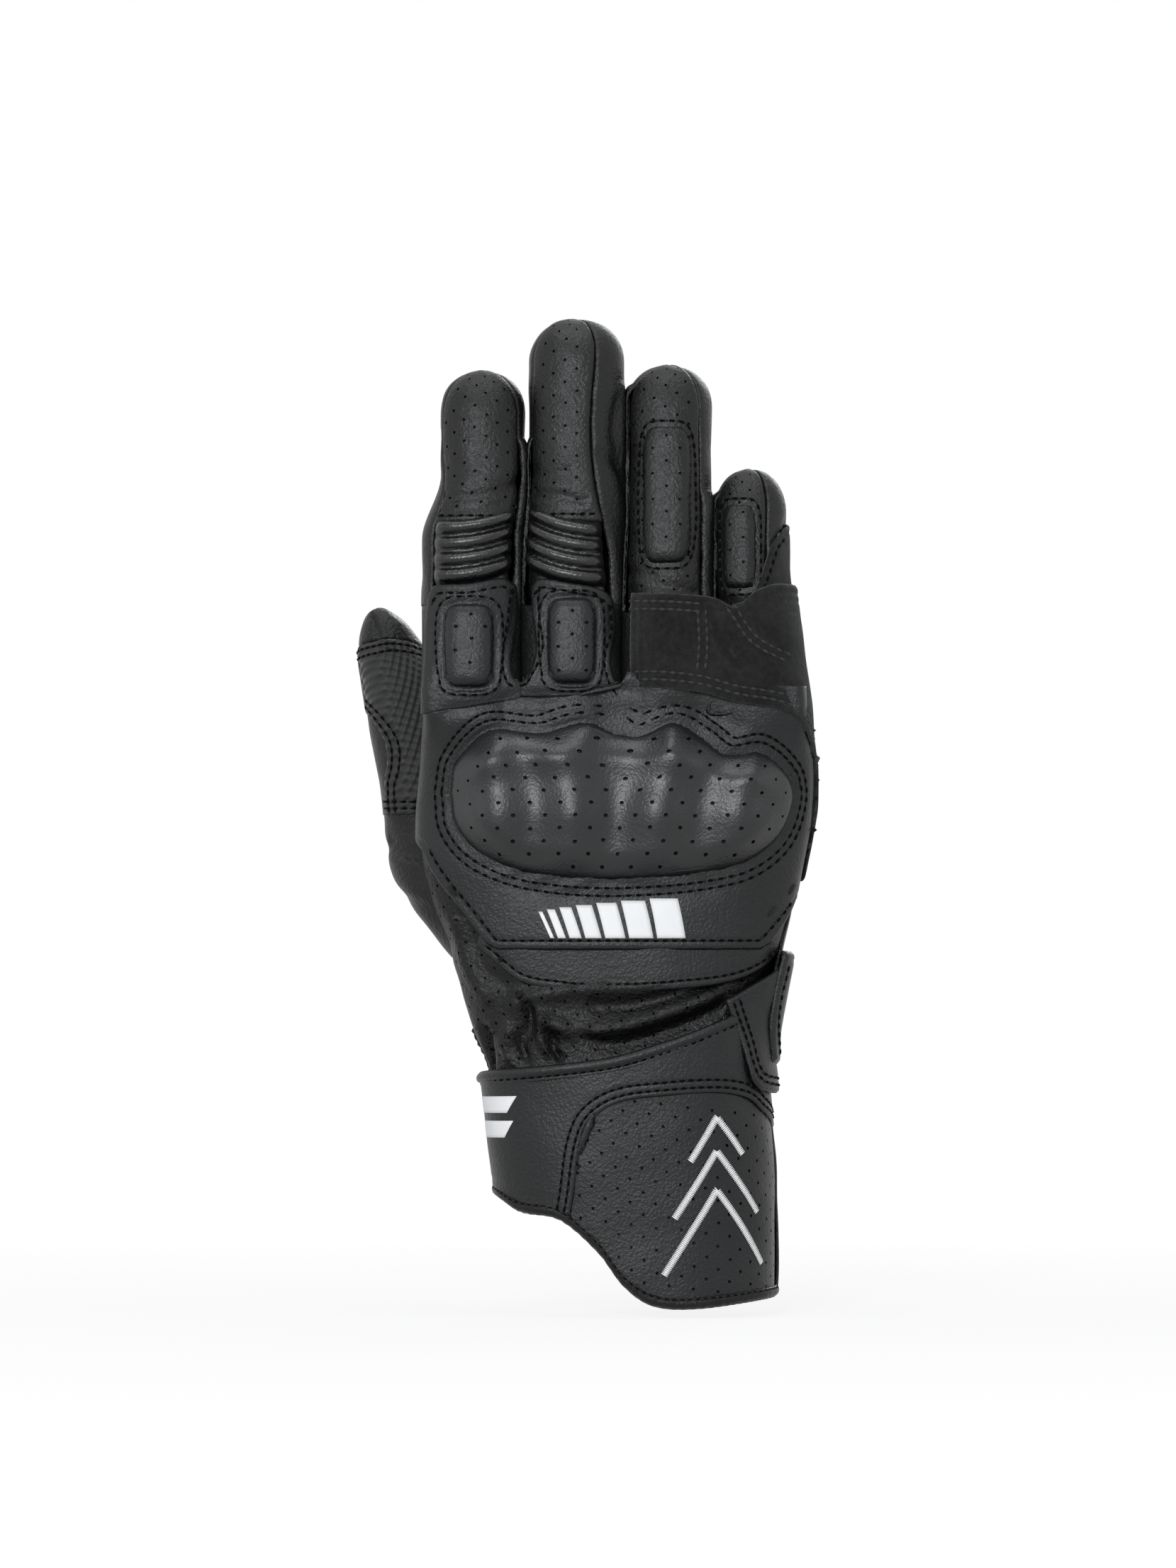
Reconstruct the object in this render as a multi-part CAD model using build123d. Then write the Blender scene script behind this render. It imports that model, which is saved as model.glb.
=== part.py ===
"""Short-gauntlet leather riding glove for the right hand, upright: fingers up, palm towards +Y.

Millimetres. +Z runs from the cuff mouth to the fingertips, +X towards the little finger and +Y out
of the palm. The origin is the centre of the cuff mouth, level with the cuff's lowest edge.
Every leather piece is cut from a closed form: rounded sections at rising heights, lofted, and then
grown or shrunk by the thickness of the layers that lie over or under it.
"""

from build123d import *
from dataclasses import dataclass
from functools import cache
from math import copysign, cos, hypot, pi, sin
import os

# ---- materials and clearances ----
LEATHER = 1.3              # outer leather
LINING = 0.8               # inner fabric
LAYER_GAP = 0.1            # between two layers of one body
BODY_GAP = 0.4             # between two bodies that move against each other
GUARD_FOAM = 1.6           # foam under the knuckle guard
GUARD_SHELL = 1.6          # hard shell of the knuckle guard
GUARD_COVER = 1.0          # leather over the shell
BUMP_RISE = 4.2            # the shell's knuckle bumps stand this far out of it
BUMP_RADIUS = 15.0
PAD_RISE = 2.6             # stuffed pads on the fingers
SLIDER_THICK = 2.6         # hard slider on the heel of the palm
HOOK_LOOP = 0.7            # one half of a hook-and-loop fastener
GUSSET_WALL = 1.0          # soft leather of the wrist
ELASTIC = 1.0              # elastic band inside it
FOLD = 0.7                 # a bound or folded edge is this much thicker on each side

# ---- heights ----
BINDING_WIDTH = 3.0        # bound lower edge of the cuff
HEM_WIDTH = 5.0            # folded upper edge of the cuff
CUFF_PALM_TOP = 58.0       # top of the cuff on the palm side
GUSSET_LOW = 60.0          # soft wrist gusset, tucked into the cuff
GUSSET_HIGH = 97.5
ELASTIC_Z = (70.0, 77.0)
PALM_LOW = 74.0            # lower edge of the palm leather
BACK_LOW = 101.5           # lower edge of the back panel, above the yoke
LINING_LOW = 98.0
HAND_TOP = 175.5           # upper edge of the hand's leather, at the roots of the fingers
FINGER_BACK_LOW = 176.6    # lower edge of a finger's leather, on its back
FINGER_PALM_LOW = 188.0    # the same edge on the palm side
KNUCKLE_DEPTH = 16.0       # those two heights are this far behind and in front of the middle
BRIDGE_HIGH = 202.0        # top of the suede that joins the ring and little fingers
BRIDGE_LEFT = 0.3          # its edge beside the middle finger

POINTS = 20                # points on each section curve
STATION_PITCH = 8.0        # between the sections of a finger
HAND_ROUND = 2.6           # 2 is an ellipse, more is squarer
FINGER_ROUND = 2.25
BRIDGE_ROUND = 3.2
FAR = 200.0                # reach of the cutting blocks

# ---- fingers ----
BASE_DEPTH = 15.4          # half of a finger's thickness at its root
MID_DEPTH = 12.4           # half of it at the middle joint
DOME = 12.0                # height of a rounded fingertip
DOME_SHAPE = [(0.0, 1.0), (0.36, 0.94), (0.66, 0.78), (0.88, 0.52), (1.0, 0.2)]
BACK_SHARE = 0.70          # share of a finger's half-width that its back piece covers
CURL_POWER = 1.6           # the tips lean towards the palm along this power of the height
RIBS = 4
RIB_WIDTH = 2.8
RIB_RISE = 1.4
PAD_CORNER = 4.6


@dataclass(frozen=True)
class Finger:
    """One finger sleeve: edges along X at its root and tip, and where it bends."""

    root: tuple            # left and right edges at the root
    tip: tuple             # left and right edges near the tip
    taper: tuple           # heights between which the one becomes the other
    top: float             # height of the fingertip
    curl: float            # how far the tip leans towards the palm
    bend: float            # height of the middle joint's axis
    half_gap: float        # soft stretch below that axis, and above it on the back
    palm_gap: float        # soft stretch above that axis on the palm side
    tip_depth: float       # half of the thickness near the tip
    pad: tuple             # stuffed pad: left, right, low, high
    ribbed: bool           # a ribbed stretch panel over the joint


FINGERS = {
    "index": Finger((-59.6, -31.7), (-54.6, -31.5), (218.0, 237.0), 265.8, 11.0, 214.0, 9.0, 3.5, 11.6,
                    (-51.9, -40.3, 177.2, 198.5), True),
    "middle": Finger((-31.0, -3.4), (-29.3, -2.7), (212.0, 236.0), 280.6, 13.0, 214.0, 9.0, 3.5, 12.2,
                     (-22.9, -10.9, 177.6, 200.3), True),
    "ring": Finger((-2.4, 22.2), (-1.6, 22.8), (200.0, 224.0), 267.4, 12.0, 208.0, 7.0, 4.5, 11.4,
                   (3.0, 16.8, 211.4, 249.0), False),
    "little": Finger((23.6, 48.4), (23.6, 43.9), (176.0, 210.0), 237.8, 8.0, 201.0, 6.5, 3.5, 10.0,
                     (25.6, 35.6, 204.6, 227.0), False),
}

# ---- forms: height, left, right, back, palm ----
CUFF_FORM = [
    (-8.0, -38.0, 40.8, -27.6, 27.6),
    (12.0, -38.2, 41.0, -27.4, 27.4),
    (32.0, -38.8, 41.0, -27.0, 27.0),
    (48.0, -40.6, 40.4, -26.6, 26.6),
    (62.0, -42.0, 39.0, -26.2, 26.2),
    (74.0, -43.0, 38.0, -25.8, 25.8),
    (92.0, -44.0, 37.0, -25.4, 25.4),
]
GUSSET_FORM = [
    (54.0, -39.0, 36.2, -23.6, 23.6),
    (62.0, -39.2, 36.0, -22.6, 22.6),
    (70.0, -41.2, 35.8, -19.6, 19.6),
    (78.0, -44.8, 36.4, -18.6, 18.6),
    (86.0, -47.4, 37.4, -18.5, 18.5),
    (94.0, -49.4, 38.8, -18.5, 18.5),
    (102.0, -51.0, 40.4, -18.5, 18.5),
]
HAND_FORM = [
    (66.0, -43.0, 38.0, -20.6, 21.0),
    (76.0, -46.6, 38.8, -20.6, 21.0),
    (86.0, -49.8, 40.0, -20.6, 21.0),
    (98.0, -52.4, 42.0, -20.4, 20.8),
    (110.0, -56.2, 45.2, -20.0, 20.6),
    (124.0, -60.4, 48.4, -19.4, 20.4),
    (138.0, -61.0, 51.0, -18.6, 19.8),
    (152.0, -60.0, 51.6, -17.8, 18.4),
    (166.0, -59.2, 50.2, -17.0, 16.8),
    (180.0, -59.4, 48.8, -16.2, 15.8),
]
THUMB_FORM = [
    (88.0, -50.0, -22.0, 2.0, 19.0),
    (104.0, -56.4, -22.0, -3.0, 28.0),
    (117.0, -65.6, -26.0, -2.0, 36.0),
    (128.0, -70.2, -34.0, 7.0, 40.5),
    (140.0, -71.2, -43.5, 15.0, 41.0),
    (152.0, -72.6, -45.2, 15.6, 41.0),
    (164.0, -74.8, -47.8, 15.8, 40.6),
    (175.0, -76.4, -51.6, 16.2, 39.6),
    (184.0, -77.5, -57.4, 17.2, 38.4),
    (189.4, -77.3, -61.4, 18.8, 36.8),
    (193.6, -76.2, -64.8, 21.2, 34.6),
    (196.6, -74.8, -68.8, 24.2, 31.8),
    (197.9, -73.4, -71.2, 26.8, 29.2),
]
BRIDGE_FORM = [
    (160.0, -3.4, 50.8, -18.4, 18.0),
    (175.0, -3.2, 49.2, -16.8, 17.0),
    (190.0, -3.0, 47.2, -16.0, 16.4),
    (205.0, -2.6, 45.6, -14.8, 17.0),
]

# ---- thumb joints ----
THUMB_AXIS = (-58.0, 27.0, 134.0)        # point on the axis at the thumb's root
THUMB_GAP = 6.5                          # soft stretch on each side of it
THUMB_TIP_AXIS = (-63.0, 27.6, 170.0)
THUMB_TIP_GAP = 6.0

# ---- outlines seen from the back of the hand: (x, z) ----
BACK_OUTLINE = [(-90.0, 190.0), (-90.0, 160.0), (-61.5, 131.0), (-40.3, BACK_LOW),
                (90.0, BACK_LOW), (90.0, 190.0)]
YOKE_EDGE = [(-41.8, 100.4), (-31.5, 92.2), (-9.4, 89.4), (12.8, 90.4), (31.8, 93.2), (43.6, 102.0)]
GUARD_OUTLINE = [(-51.9, 146.2), (-50.0, 155.0), (-40.3, 164.2), (-25.2, 163.6), (-11.8, 166.4),
                 (0.3, 162.4), (11.5, 166.2), (26.5, 157.8), (37.0, 157.8), (45.6, 149.0),
                 (40.9, 131.9), (29.3, 124.9), (-1.9, 121.3), (-28.7, 123.0), (-43.0, 128.3)]
GUARD_LIP = 2.0                          # the cover reaches this far past the shell
GUARD_BUMPS = [(-38.0, 146.0), (-17.0, 148.0), (8.5, 147.5), (29.0, 144.0)]
HEM_EDGE = [(-90.0, 64.0), (-42.6, 66.5), (-9.4, 70.9), (9.6, 76.0), (24.0, 81.5)]
HEM_CORNER = [(32.6, 64.0), (39.3, 60.6), (90.0, 60.0)]
CUFF_EDGE = [(-90.0, 36.0), (-39.0, 31.8), (-32.0, 27.6), (-20.4, 25.4), (-9.4, 16.0),
             (-3.0, 7.4), (5.0, 1.4), (16.7, 0.0), (39.3, 2.8), (90.0, 12.0)]
PERF_OUTLINE = [(-17.3, -20.0), (-16.6, 30.0), (-12.9, 51.0), (-4.6, 58.2), (24.6, 61.0),
                (35.7, 58.2), (90.0, 50.0), (90.0, -20.0)]
VENTS = [(-51.5, 118.8, -34.0), (-44.2, 111.6, -34.0), (40.2, 113.3, 34.0), (45.6, 119.4, 34.0)]
VENT_SIZE = (1.5, 4.6)
SIDE_OUTLINE = [(19.5, 174.2), (30.2, 171.6), (42.7, 169.4), (49.0, 164.0), (52.5, 154.0),
                (60.0, 120.0), (90.0, 120.0), (90.0, 190.0), (19.5, 190.0)]
SIDE_PALM_LIMIT = 9.0                    # the outer side panel wraps this far towards the palm
PATCH_OUTLINE = [(-34.0, 112.0), (14.0, 112.0), (24.0, 158.0), (-40.0, 158.0)]
PALM_PATCH_CORNER = 9.0
SLIDER = (30.0, 114.0, 17.0, 24.0)       # middle x, middle z, width, height
SLIDER_CORNER = 7.0
SLIDER_FACE = 24.6                       # its flat outer face

# ---- straps ----
ANCHOR_Z = (70.0, 97.5)                  # root of the wrist strap, on the outer side
ANCHOR_BACK = -9.0
STRAP_Z = (76.0, 92.0)
STRAP_ROOT_Y = 5.4                       # the strap turns about an upright line here
STRAP_END = -29.0
STRAP_THICK = 2.0
FLAP_Z = (36.5, 55.0)
FLAP_ROOT_Y = 2.4
FLAP_FOLD = 7.0                          # folded root of the flap, down to the cuff
FLAP_END = 18.0
PATCH_INSET = 2.5                        # fasteners stay inside the edge of what carries them
PATCH_LENGTH = 24.0
PATCH_CORNER = 2.5


# ---------------------------------------------------------------- tools
def ring(station, grow, roundness):
    """Closed section curve of a form at one height."""
    z, left, right, back, palm = station
    half_x = (right - left) / 2 + grow
    half_y = (palm - back) / 2 + grow
    points = []
    for k in range(POINTS):
        c, s = cos(2 * pi * k / POINTS), sin(2 * pi * k / POINTS)
        x = (left + right) / 2 + half_x * copysign(abs(c) ** (2 / roundness), c)
        y = (back + palm) / 2 + half_y * copysign(abs(s) ** (2 / roundness), s)
        points.append((x, y, z))
    return Wire([Edge.make_spline(points, periodic=True)])


def form(stations, grow=0.0, roundness=HAND_ROUND):
    """Solid that the stations describe, grown by the given amount all round."""
    return Part() + Solid.make_loft([ring(s, grow, roundness) for s in stations])


def block(x=(-FAR, FAR), y=(-FAR, FAR), z=(-FAR, 2 * FAR)):
    """Cutting block between the given limits."""
    size = [high - low for low, high in (x, y, z)]
    middle = [(high + low) / 2 for low, high in (x, y, z)]
    return Pos(*middle) * Box(*size)


def carry(face, y):
    """A face in the X-Z plane at y[0], carried to y[1]."""
    return Part() + Solid.extrude(face, Vector(0, y[1] - y[0], 0))


def prism(outline, corner=0.0, y=(-FAR, 0)):
    """Straight-sided outline with rounded corners, carried along Y."""
    face = Face(Wire.make_polygon([Vector(x, y[0], z) for x, z in outline], close=True))
    if corner:
        face = face.fillet_2d(corner, face.vertices())
    return carry(face, y)


def blob(outline, y=(-FAR, 0), grow=0.0):
    """Smooth closed outline that runs clockwise, its points moved out by grow, carried along Y."""
    points = []
    for before, (x, z), after in zip(outline[-1:] + outline, outline, outline[1:] + outline[:1]):
        dx, dz = after[0] - before[0], after[1] - before[1]
        out = grow / hypot(dx, dz)
        points.append(Vector(x - dz * out, y[0], z + dx * out))
    return carry(Face(Wire([Edge.make_spline(points, periodic=True)])), y)


def under(edge, lift, corners=(), y=(-FAR, FAR)):
    """Everything below a smooth edge line, which is raised by lift and may end in straight corners."""
    line = [Vector(x, y[0], z + lift) for x, z in edge]
    ends = [Vector(x, y[0], z + lift) for x, z in corners]
    ends += [Vector((ends or line)[-1].X, y[0], -FAR), Vector(line[0].X, y[0], -FAR), line[0]]
    sides = [Edge.make_line(a, b) for a, b in zip([line[-1], *ends], ends)]
    return carry(Face(Wire([Edge.make_spline(line), *sides])), y)


def shell(stations, outer, inner, z, roundness=HAND_ROUND):
    """Wall between two growths of a form, over a range of heights."""
    return (form(stations, outer, roundness) & block(z=z)) - form(stations, inner, roundness)


def over_line(z_back, z_palm):
    """Everything above a plane that rises from z_back behind the hand's middle to z_palm before it."""
    slope = (z_palm - z_back) / (2 * KNUCKLE_DEPTH)
    heights = [z_back + slope * (y + KNUCKLE_DEPTH) for y in (-FAR, FAR)]
    corners = [(-FAR, heights[0]), (FAR, heights[1]), (FAR, 3 * FAR), (-FAR, 3 * FAR)]
    face = Face(Wire.make_polygon([Vector(-FAR, y, z) for y, z in corners], close=True))
    return Part() + Solid.extrude(face, Vector(2 * FAR, 0, 0))


def surface_y(stations, x, z, side, roundness=HAND_ROUND):
    """Height in Y of a form's surface over the point (x, z); side is -1 for the back, 1 for the palm."""
    pairs = zip(stations, stations[1:])
    low, high = next((a, b) for a, b in pairs if a[0] <= z <= b[0])
    share = (z - low[0]) / (high[0] - low[0])
    left, right, back, palm = [a + (b - a) * share for a, b in zip(low[1:], high[1:])]
    reach = min(1.0, abs(x - (left + right) / 2) / ((right - left) / 2))
    return (back + palm) / 2 + side * (palm - back) / 2 * (1 - reach ** roundness) ** (1 / roundness)


# ---------------------------------------------------------------- fingers
def ease(a, b, share):
    """Smooth step from a to b."""
    share = max(0.0, min(1.0, share))
    return a + (b - a) * share * share * (3 - 2 * share)


def finger_station(finger, z, scale=1.0, inset=0.0):
    """Section of a finger at one height; scale shrinks it within the rounded tip."""
    share = (z - finger.taper[0]) / (finger.taper[1] - finger.taper[0])
    left = ease(finger.root[0], finger.tip[0], share)
    right = ease(finger.root[1], finger.tip[1], share)
    if z < finger.bend:
        depth = ease(BASE_DEPTH, MID_DEPTH, (z - HAND_TOP) / (finger.bend - HAND_TOP))
    else:
        depth = ease(MID_DEPTH, finger.tip_depth, (z - finger.bend) / (finger.top - DOME - finger.bend))
    lean = finger.curl * max(0.0, (z - HAND_TOP) / (finger.top - HAND_TOP)) ** CURL_POWER
    half_x, half_y = ((right - left) / 2 - inset) * scale, (depth - inset) * scale
    middle = (left + right) / 2
    return (z, middle - half_x, middle + half_x, lean - half_y, lean + half_y)


@cache
def finger_form(finger, inset=0.0):
    """Closed form of a finger from inside the hand to its tip."""
    low, dome_low = HAND_TOP - 10, finger.top - DOME
    count = round((dome_low - low) / STATION_PITCH)
    heights = [low + (dome_low - low) * k / count for k in range(count)]
    stations = [finger_station(finger, z, 1.0, inset) for z in heights]
    stations += [finger_station(finger, dome_low + (DOME - inset) * rise, scale, inset)
                 for rise, scale in DOME_SHAPE]
    return form(stations, 0.0, FINGER_ROUND)


def finger_tube(finger, limits, outer=0.0, inner=LEATHER):
    """Sleeve wall of a finger inside the limiting solid; outer and inner count inwards."""
    return (finger_form(finger, outer) & limits) - finger_form(finger, inner)


def back_window(finger, z):
    """Block that holds the back piece of a finger, as wide as it is at one height."""
    _, left, right, back, palm = finger_station(finger, z)
    middle, half = (left + right) / 2, (right - left) / 2 * BACK_SHARE
    return block(x=(middle - half, middle + half), y=(-FAR, (back + palm) / 2))


def column(finger, z):
    """Block as wide as the back piece of a finger, from its back to its palm side."""
    _, left, right, _, _ = finger_station(finger, z)
    middle, half = (left + right) / 2, (right - left) / 2 * BACK_SHARE
    return block(x=(middle - half, middle + half))


def tip_limits(finger, gap=0.0):
    """Everything above the middle joint's soft stretch."""
    back = finger.bend + finger.half_gap + gap
    palm = finger.bend + finger.palm_gap + gap
    return over_line(back, palm)


def base_limits(finger, gap=0.0):
    """Everything between the knuckle and the middle joint's soft stretch."""
    top = finger.bend - finger.half_gap - gap
    return over_line(FINGER_BACK_LOW + gap, FINGER_PALM_LOW + gap) & block(z=(-FAR, top))


def stuffed_pad(finger):
    """Raised pad that lies on the back of a finger."""
    left, right, low, high = finger.pad
    outline = [(left, low), (right, low), (right, high), (left, high)]
    layer = finger_form(finger, -LAYER_GAP - PAD_RISE) - finger_form(finger, -LAYER_GAP)
    return layer & prism(outline, PAD_CORNER)


def ribbed_panel(finger):
    """Stretch panel with raised ribs over the back of the middle joint."""
    low = finger.bend - finger.half_gap + BODY_GAP
    high = finger.bend + finger.half_gap - BODY_GAP
    window = back_window(finger, finger.bend) - tip_limits(finger, -BODY_GAP)
    panel = finger_tube(finger, block(z=(low, high))) & window
    raised = (finger_form(finger, -RIB_RISE) - finger_form(finger, LEATHER / 2)) & window
    pitch = (high - low) / RIBS
    for k in range(RIBS):
        start = low + pitch * (k + 0.5) - RIB_WIDTH / 2
        panel += raised & block(z=(start, start + RIB_WIDTH))
    return panel


def bend_gusset(finger):
    """Soft leather round the middle joint, open where a ribbed panel lies over it."""
    limits = block(z=(finger.bend - finger.half_gap + BODY_GAP, 2 * FAR)) - tip_limits(finger, -BODY_GAP)
    gusset = finger_tube(finger, limits)
    if finger.ribbed:
        gusset -= back_window(finger, finger.bend)
    return gusset


def knuckle_gusset(finger):
    """Soft leather between the palm's upper edge and the root of a finger."""
    limits = block(z=(HAND_TOP + BODY_GAP, 2 * FAR), y=(-0.6 * KNUCKLE_DEPTH, FAR))
    return finger_tube(finger, limits - over_line(FINGER_BACK_LOW - BODY_GAP, FINGER_PALM_LOW - BODY_GAP))


def finger_pieces(name, finger):
    """The nodes of one finger."""
    root_height, tip_height = finger.bend - finger.half_gap, finger.bend + 3 * finger.half_gap
    tip = finger_tube(finger, tip_limits(finger))
    tip_window, tip_column = back_window(finger, tip_height), column(finger, tip_height)
    base = finger_tube(finger, base_limits(finger))
    pieces = {
        f"{name}_tip_back": tip & tip_window,
        f"{name}_tip_palm": (tip & tip_column) - tip_window,
        f"{name}_tip_walls": tip - tip_column,
    }
    if finger.ribbed:
        window = back_window(finger, root_height)
        pieces[f"{name}_base_tab"] = base & window
        pieces[f"{name}_base_sleeve"] = base - window
        pieces[f"{name}_ribbed_panel"] = ribbed_panel(finger)
    else:
        pieces[f"{name}_base_sleeve"] = base
    pieces[f"{name}_pad"] = stuffed_pad(finger)
    return pieces


def finger_lining(finger):
    """Fabric sock inside a finger."""
    inset = LEATHER + BODY_GAP
    limits = block(z=(HAND_TOP + 2 * BODY_GAP, 2 * FAR))
    return finger_tube(finger, limits, inset, inset + LINING)


# ---------------------------------------------------------------- thumb
def thumb_tube(z, outer=0.0, inner=LEATHER):
    """Sleeve wall of the thumb over a range of heights; outer and inner count inwards."""
    stations = THUMB_FORM[:-2] if outer else THUMB_FORM
    return (form(stations, -outer, FINGER_ROUND) & block(z=z)) - form(THUMB_FORM[:-2], -inner, FINGER_ROUND)


def thumb_pieces():
    """The nodes of the thumb, from its root joint to its tip, and the two soft stretches."""
    base = thumb_tube((THUMB_AXIS[2] + THUMB_GAP, THUMB_TIP_AXIS[2] - THUMB_TIP_GAP))
    tip = thumb_tube((THUMB_TIP_AXIS[2] + THUMB_TIP_GAP, 2 * FAR))
    root_z = (THUMB_AXIS[2] - THUMB_GAP + BODY_GAP, THUMB_AXIS[2] + THUMB_GAP - BODY_GAP)
    bend_z = (THUMB_TIP_AXIS[2] - THUMB_TIP_GAP + BODY_GAP, THUMB_TIP_AXIS[2] + THUMB_TIP_GAP - BODY_GAP)
    root_gusset = thumb_tube(root_z) - form(HAND_FORM, BODY_GAP)
    return {
        "thumb_woven_panel": base & block(y=(-FAR, THUMB_AXIS[1])),
        "thumb_base_palm": base & block(y=(THUMB_AXIS[1], FAR)),
        "thumb_tip_cap": tip & block(y=(-FAR, THUMB_TIP_AXIS[1])),
        "thumb_tip_palm": tip & block(y=(THUMB_TIP_AXIS[1], FAR)),
        "thumb_gussets": root_gusset + thumb_tube(bend_z),
    }


# ---------------------------------------------------------------- hand
def thumb_hole():
    """Way from the palm into the thumb."""
    return form(THUMB_FORM[:-2], -LEATHER, FINGER_ROUND)


def hand_leather(thumb):
    """Back panel with its vents, palm leather that wraps round the root of the thumb, and the yoke."""
    wall = shell(HAND_FORM, 0.0, -LEATHER, (PALM_LOW, HAND_TOP))
    back = wall & prism(BACK_OUTLINE)
    for x, z, lean in VENTS:
        back -= Pos(x, -FAR / 2, z) * Rot(0, lean, 0) * Box(VENT_SIZE[0], FAR, VENT_SIZE[1])
    wrapped = wall & block(x=(-FAR, YOKE_EDGE[0][0]), y=(-FAR, 0), z=(LINING_LOW, HAND_TOP))
    palm = (wall & block(y=(0, FAR))) + (wrapped - prism(BACK_OUTLINE))
    low_back = wall & block(x=(YOKE_EDGE[0][0], YOKE_EDGE[-1][0]), y=(-FAR, 0), z=(PALM_LOW, BACK_LOW))
    yoke = low_back - under(YOKE_EDGE, 0.0)
    return {"back_panel": back, "palm_panel": palm - thumb, "back_yoke": yoke}


def guard_layer(outer, inner, grow):
    """Layer of the knuckle guard between two heights over the back panel, with its four bumps."""
    def envelope(height):
        body = form(HAND_FORM, height)
        for x, z in GUARD_BUMPS:
            top = surface_y(HAND_FORM, x, z, -1) - height - BUMP_RISE
            body += Pos(x, top + BUMP_RADIUS + height, z) * Sphere(BUMP_RADIUS + height)
        return body

    return (envelope(outer) - envelope(inner)) & blob(GUARD_OUTLINE, grow=grow)


def guard_pieces():
    """Foam, hard shell and leather cover over the knuckles."""
    foam_top = LAYER_GAP + GUARD_FOAM
    shell_low = foam_top + LAYER_GAP
    shell_top = shell_low + GUARD_SHELL
    cover_low = shell_top + LAYER_GAP
    outline = blob(GUARD_OUTLINE, grow=-GUARD_LIP)
    foam = (form(HAND_FORM, foam_top) - form(HAND_FORM, LAYER_GAP)) & outline
    lip = form(HAND_FORM, cover_low) - form(HAND_FORM, LAYER_GAP)
    lip = (lip & blob(GUARD_OUTLINE)) - blob(GUARD_OUTLINE, grow=-GUARD_LIP + LAYER_GAP)
    return {
        "guard_foam": foam,
        "guard_shell": guard_layer(shell_top, shell_low, -GUARD_LIP),
        "guard_cover": guard_layer(cover_low + GUARD_COVER, cover_low, 0.0) + lip,
    }


def hand_layers(thumb):
    """Lining, outer side panel, palm patch, palm slider and the leather round the thumb's root."""
    inner = -LEATHER - LAYER_GAP
    lining = shell(HAND_FORM, inner, inner - LINING, (LINING_LOW, HAND_TOP)) - thumb
    over = form(HAND_FORM, LAYER_GAP + LEATHER) - form(HAND_FORM, LAYER_GAP)
    side = over & prism(SIDE_OUTLINE, y=(-FAR, SIDE_PALM_LIMIT)) & block(z=(-FAR, HAND_TOP))
    patch = over & prism(PATCH_OUTLINE, PALM_PATCH_CORNER, (0, FAR))
    x, z, width, height = SLIDER
    outline = [(x - width / 2, z - height / 2), (x + width / 2, z - height / 2),
               (x + width / 2, z + height / 2), (x - width / 2, z + height / 2)]
    slider = prism(outline, SLIDER_CORNER, (0, SLIDER_FACE)) - form(HAND_FORM, LAYER_GAP)
    root = thumb_tube((LINING_LOW, THUMB_AXIS[2] - THUMB_GAP)) - form(HAND_FORM, LAYER_GAP)
    return {"hand_lining": lining, "side_panel": side, "palm_patch": patch - form(THUMB_FORM, LAYER_GAP),
            "palm_slider": slider, "thumb_root": root}


def bridge():
    """Suede over the ring and little fingers' roots, round their outer side."""
    outer, inner = BODY_GAP + LEATHER, BODY_GAP
    layer = shell(BRIDGE_FORM, outer, inner, (FINGER_BACK_LOW - 2, BRIDGE_HIGH), BRIDGE_ROUND)
    layer &= over_line(FINGER_BACK_LOW, FINGER_PALM_LOW)
    return {"finger_bridge": layer & block(x=(BRIDGE_LEFT, FAR), y=(-FAR, SIDE_PALM_LIMIT))}


# ---------------------------------------------------------------- cuff
def cuff_pieces():
    """Panels, bound edge, hem and lining of the cuff."""
    wall = shell(CUFF_FORM, 0.0, -LEATHER, (-10, 90))
    edge = under(CUFF_EDGE, 0.0)
    bound = under(CUFF_EDGE, BINDING_WIDTH)
    hem_low = under(HEM_EDGE, -HEM_WIDTH, HEM_CORNER)
    hem_high = under(HEM_EDGE, 0.0, HEM_CORNER)
    back_half, palm_half = block(y=(-FAR, 0)), block(y=(0, FAR), z=(-FAR, CUFF_PALM_TOP))
    above = wall - bound
    back = (above & back_half) & hem_low
    perforated = prism(PERF_OUTLINE)
    thick = shell(CUFF_FORM, FOLD, -LEATHER - FOLD, (-10, 90))
    hem = ((thick & back_half) & hem_high) - hem_low
    binding = (thick & bound) - edge
    inner = -LEATHER - LAYER_GAP
    lining = shell(CUFF_FORM, inner, inner - LINING, (-10, GUSSET_LOW - BODY_GAP))
    lining = (lining & under(HEM_EDGE, -HEM_WIDTH - LAYER_GAP, HEM_CORNER)) - under(CUFF_EDGE, BINDING_WIDTH)
    return {
        "cuff_back_panel": back - perforated,
        "cuff_perforated_panel": back & perforated,
        "cuff_palm_panel": above & palm_half,
        "cuff_hem": hem,
        "cuff_binding": binding,
        "cuff_lining": lining,
    }


# ---------------------------------------------------------------- straps
def strip(stations, heights, z, x, y=0.0, corner=4.0):
    """Rounded strip on the palm side of a form, between two heights over its surface."""
    outline = [(x[0], z[0]), (x[1], z[0]), (x[1], z[1]), (x[0], z[1])]
    layer = form(stations, heights[1]) - form(stations, heights[0])
    return layer & prism(outline, corner, (y, FAR))


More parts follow.
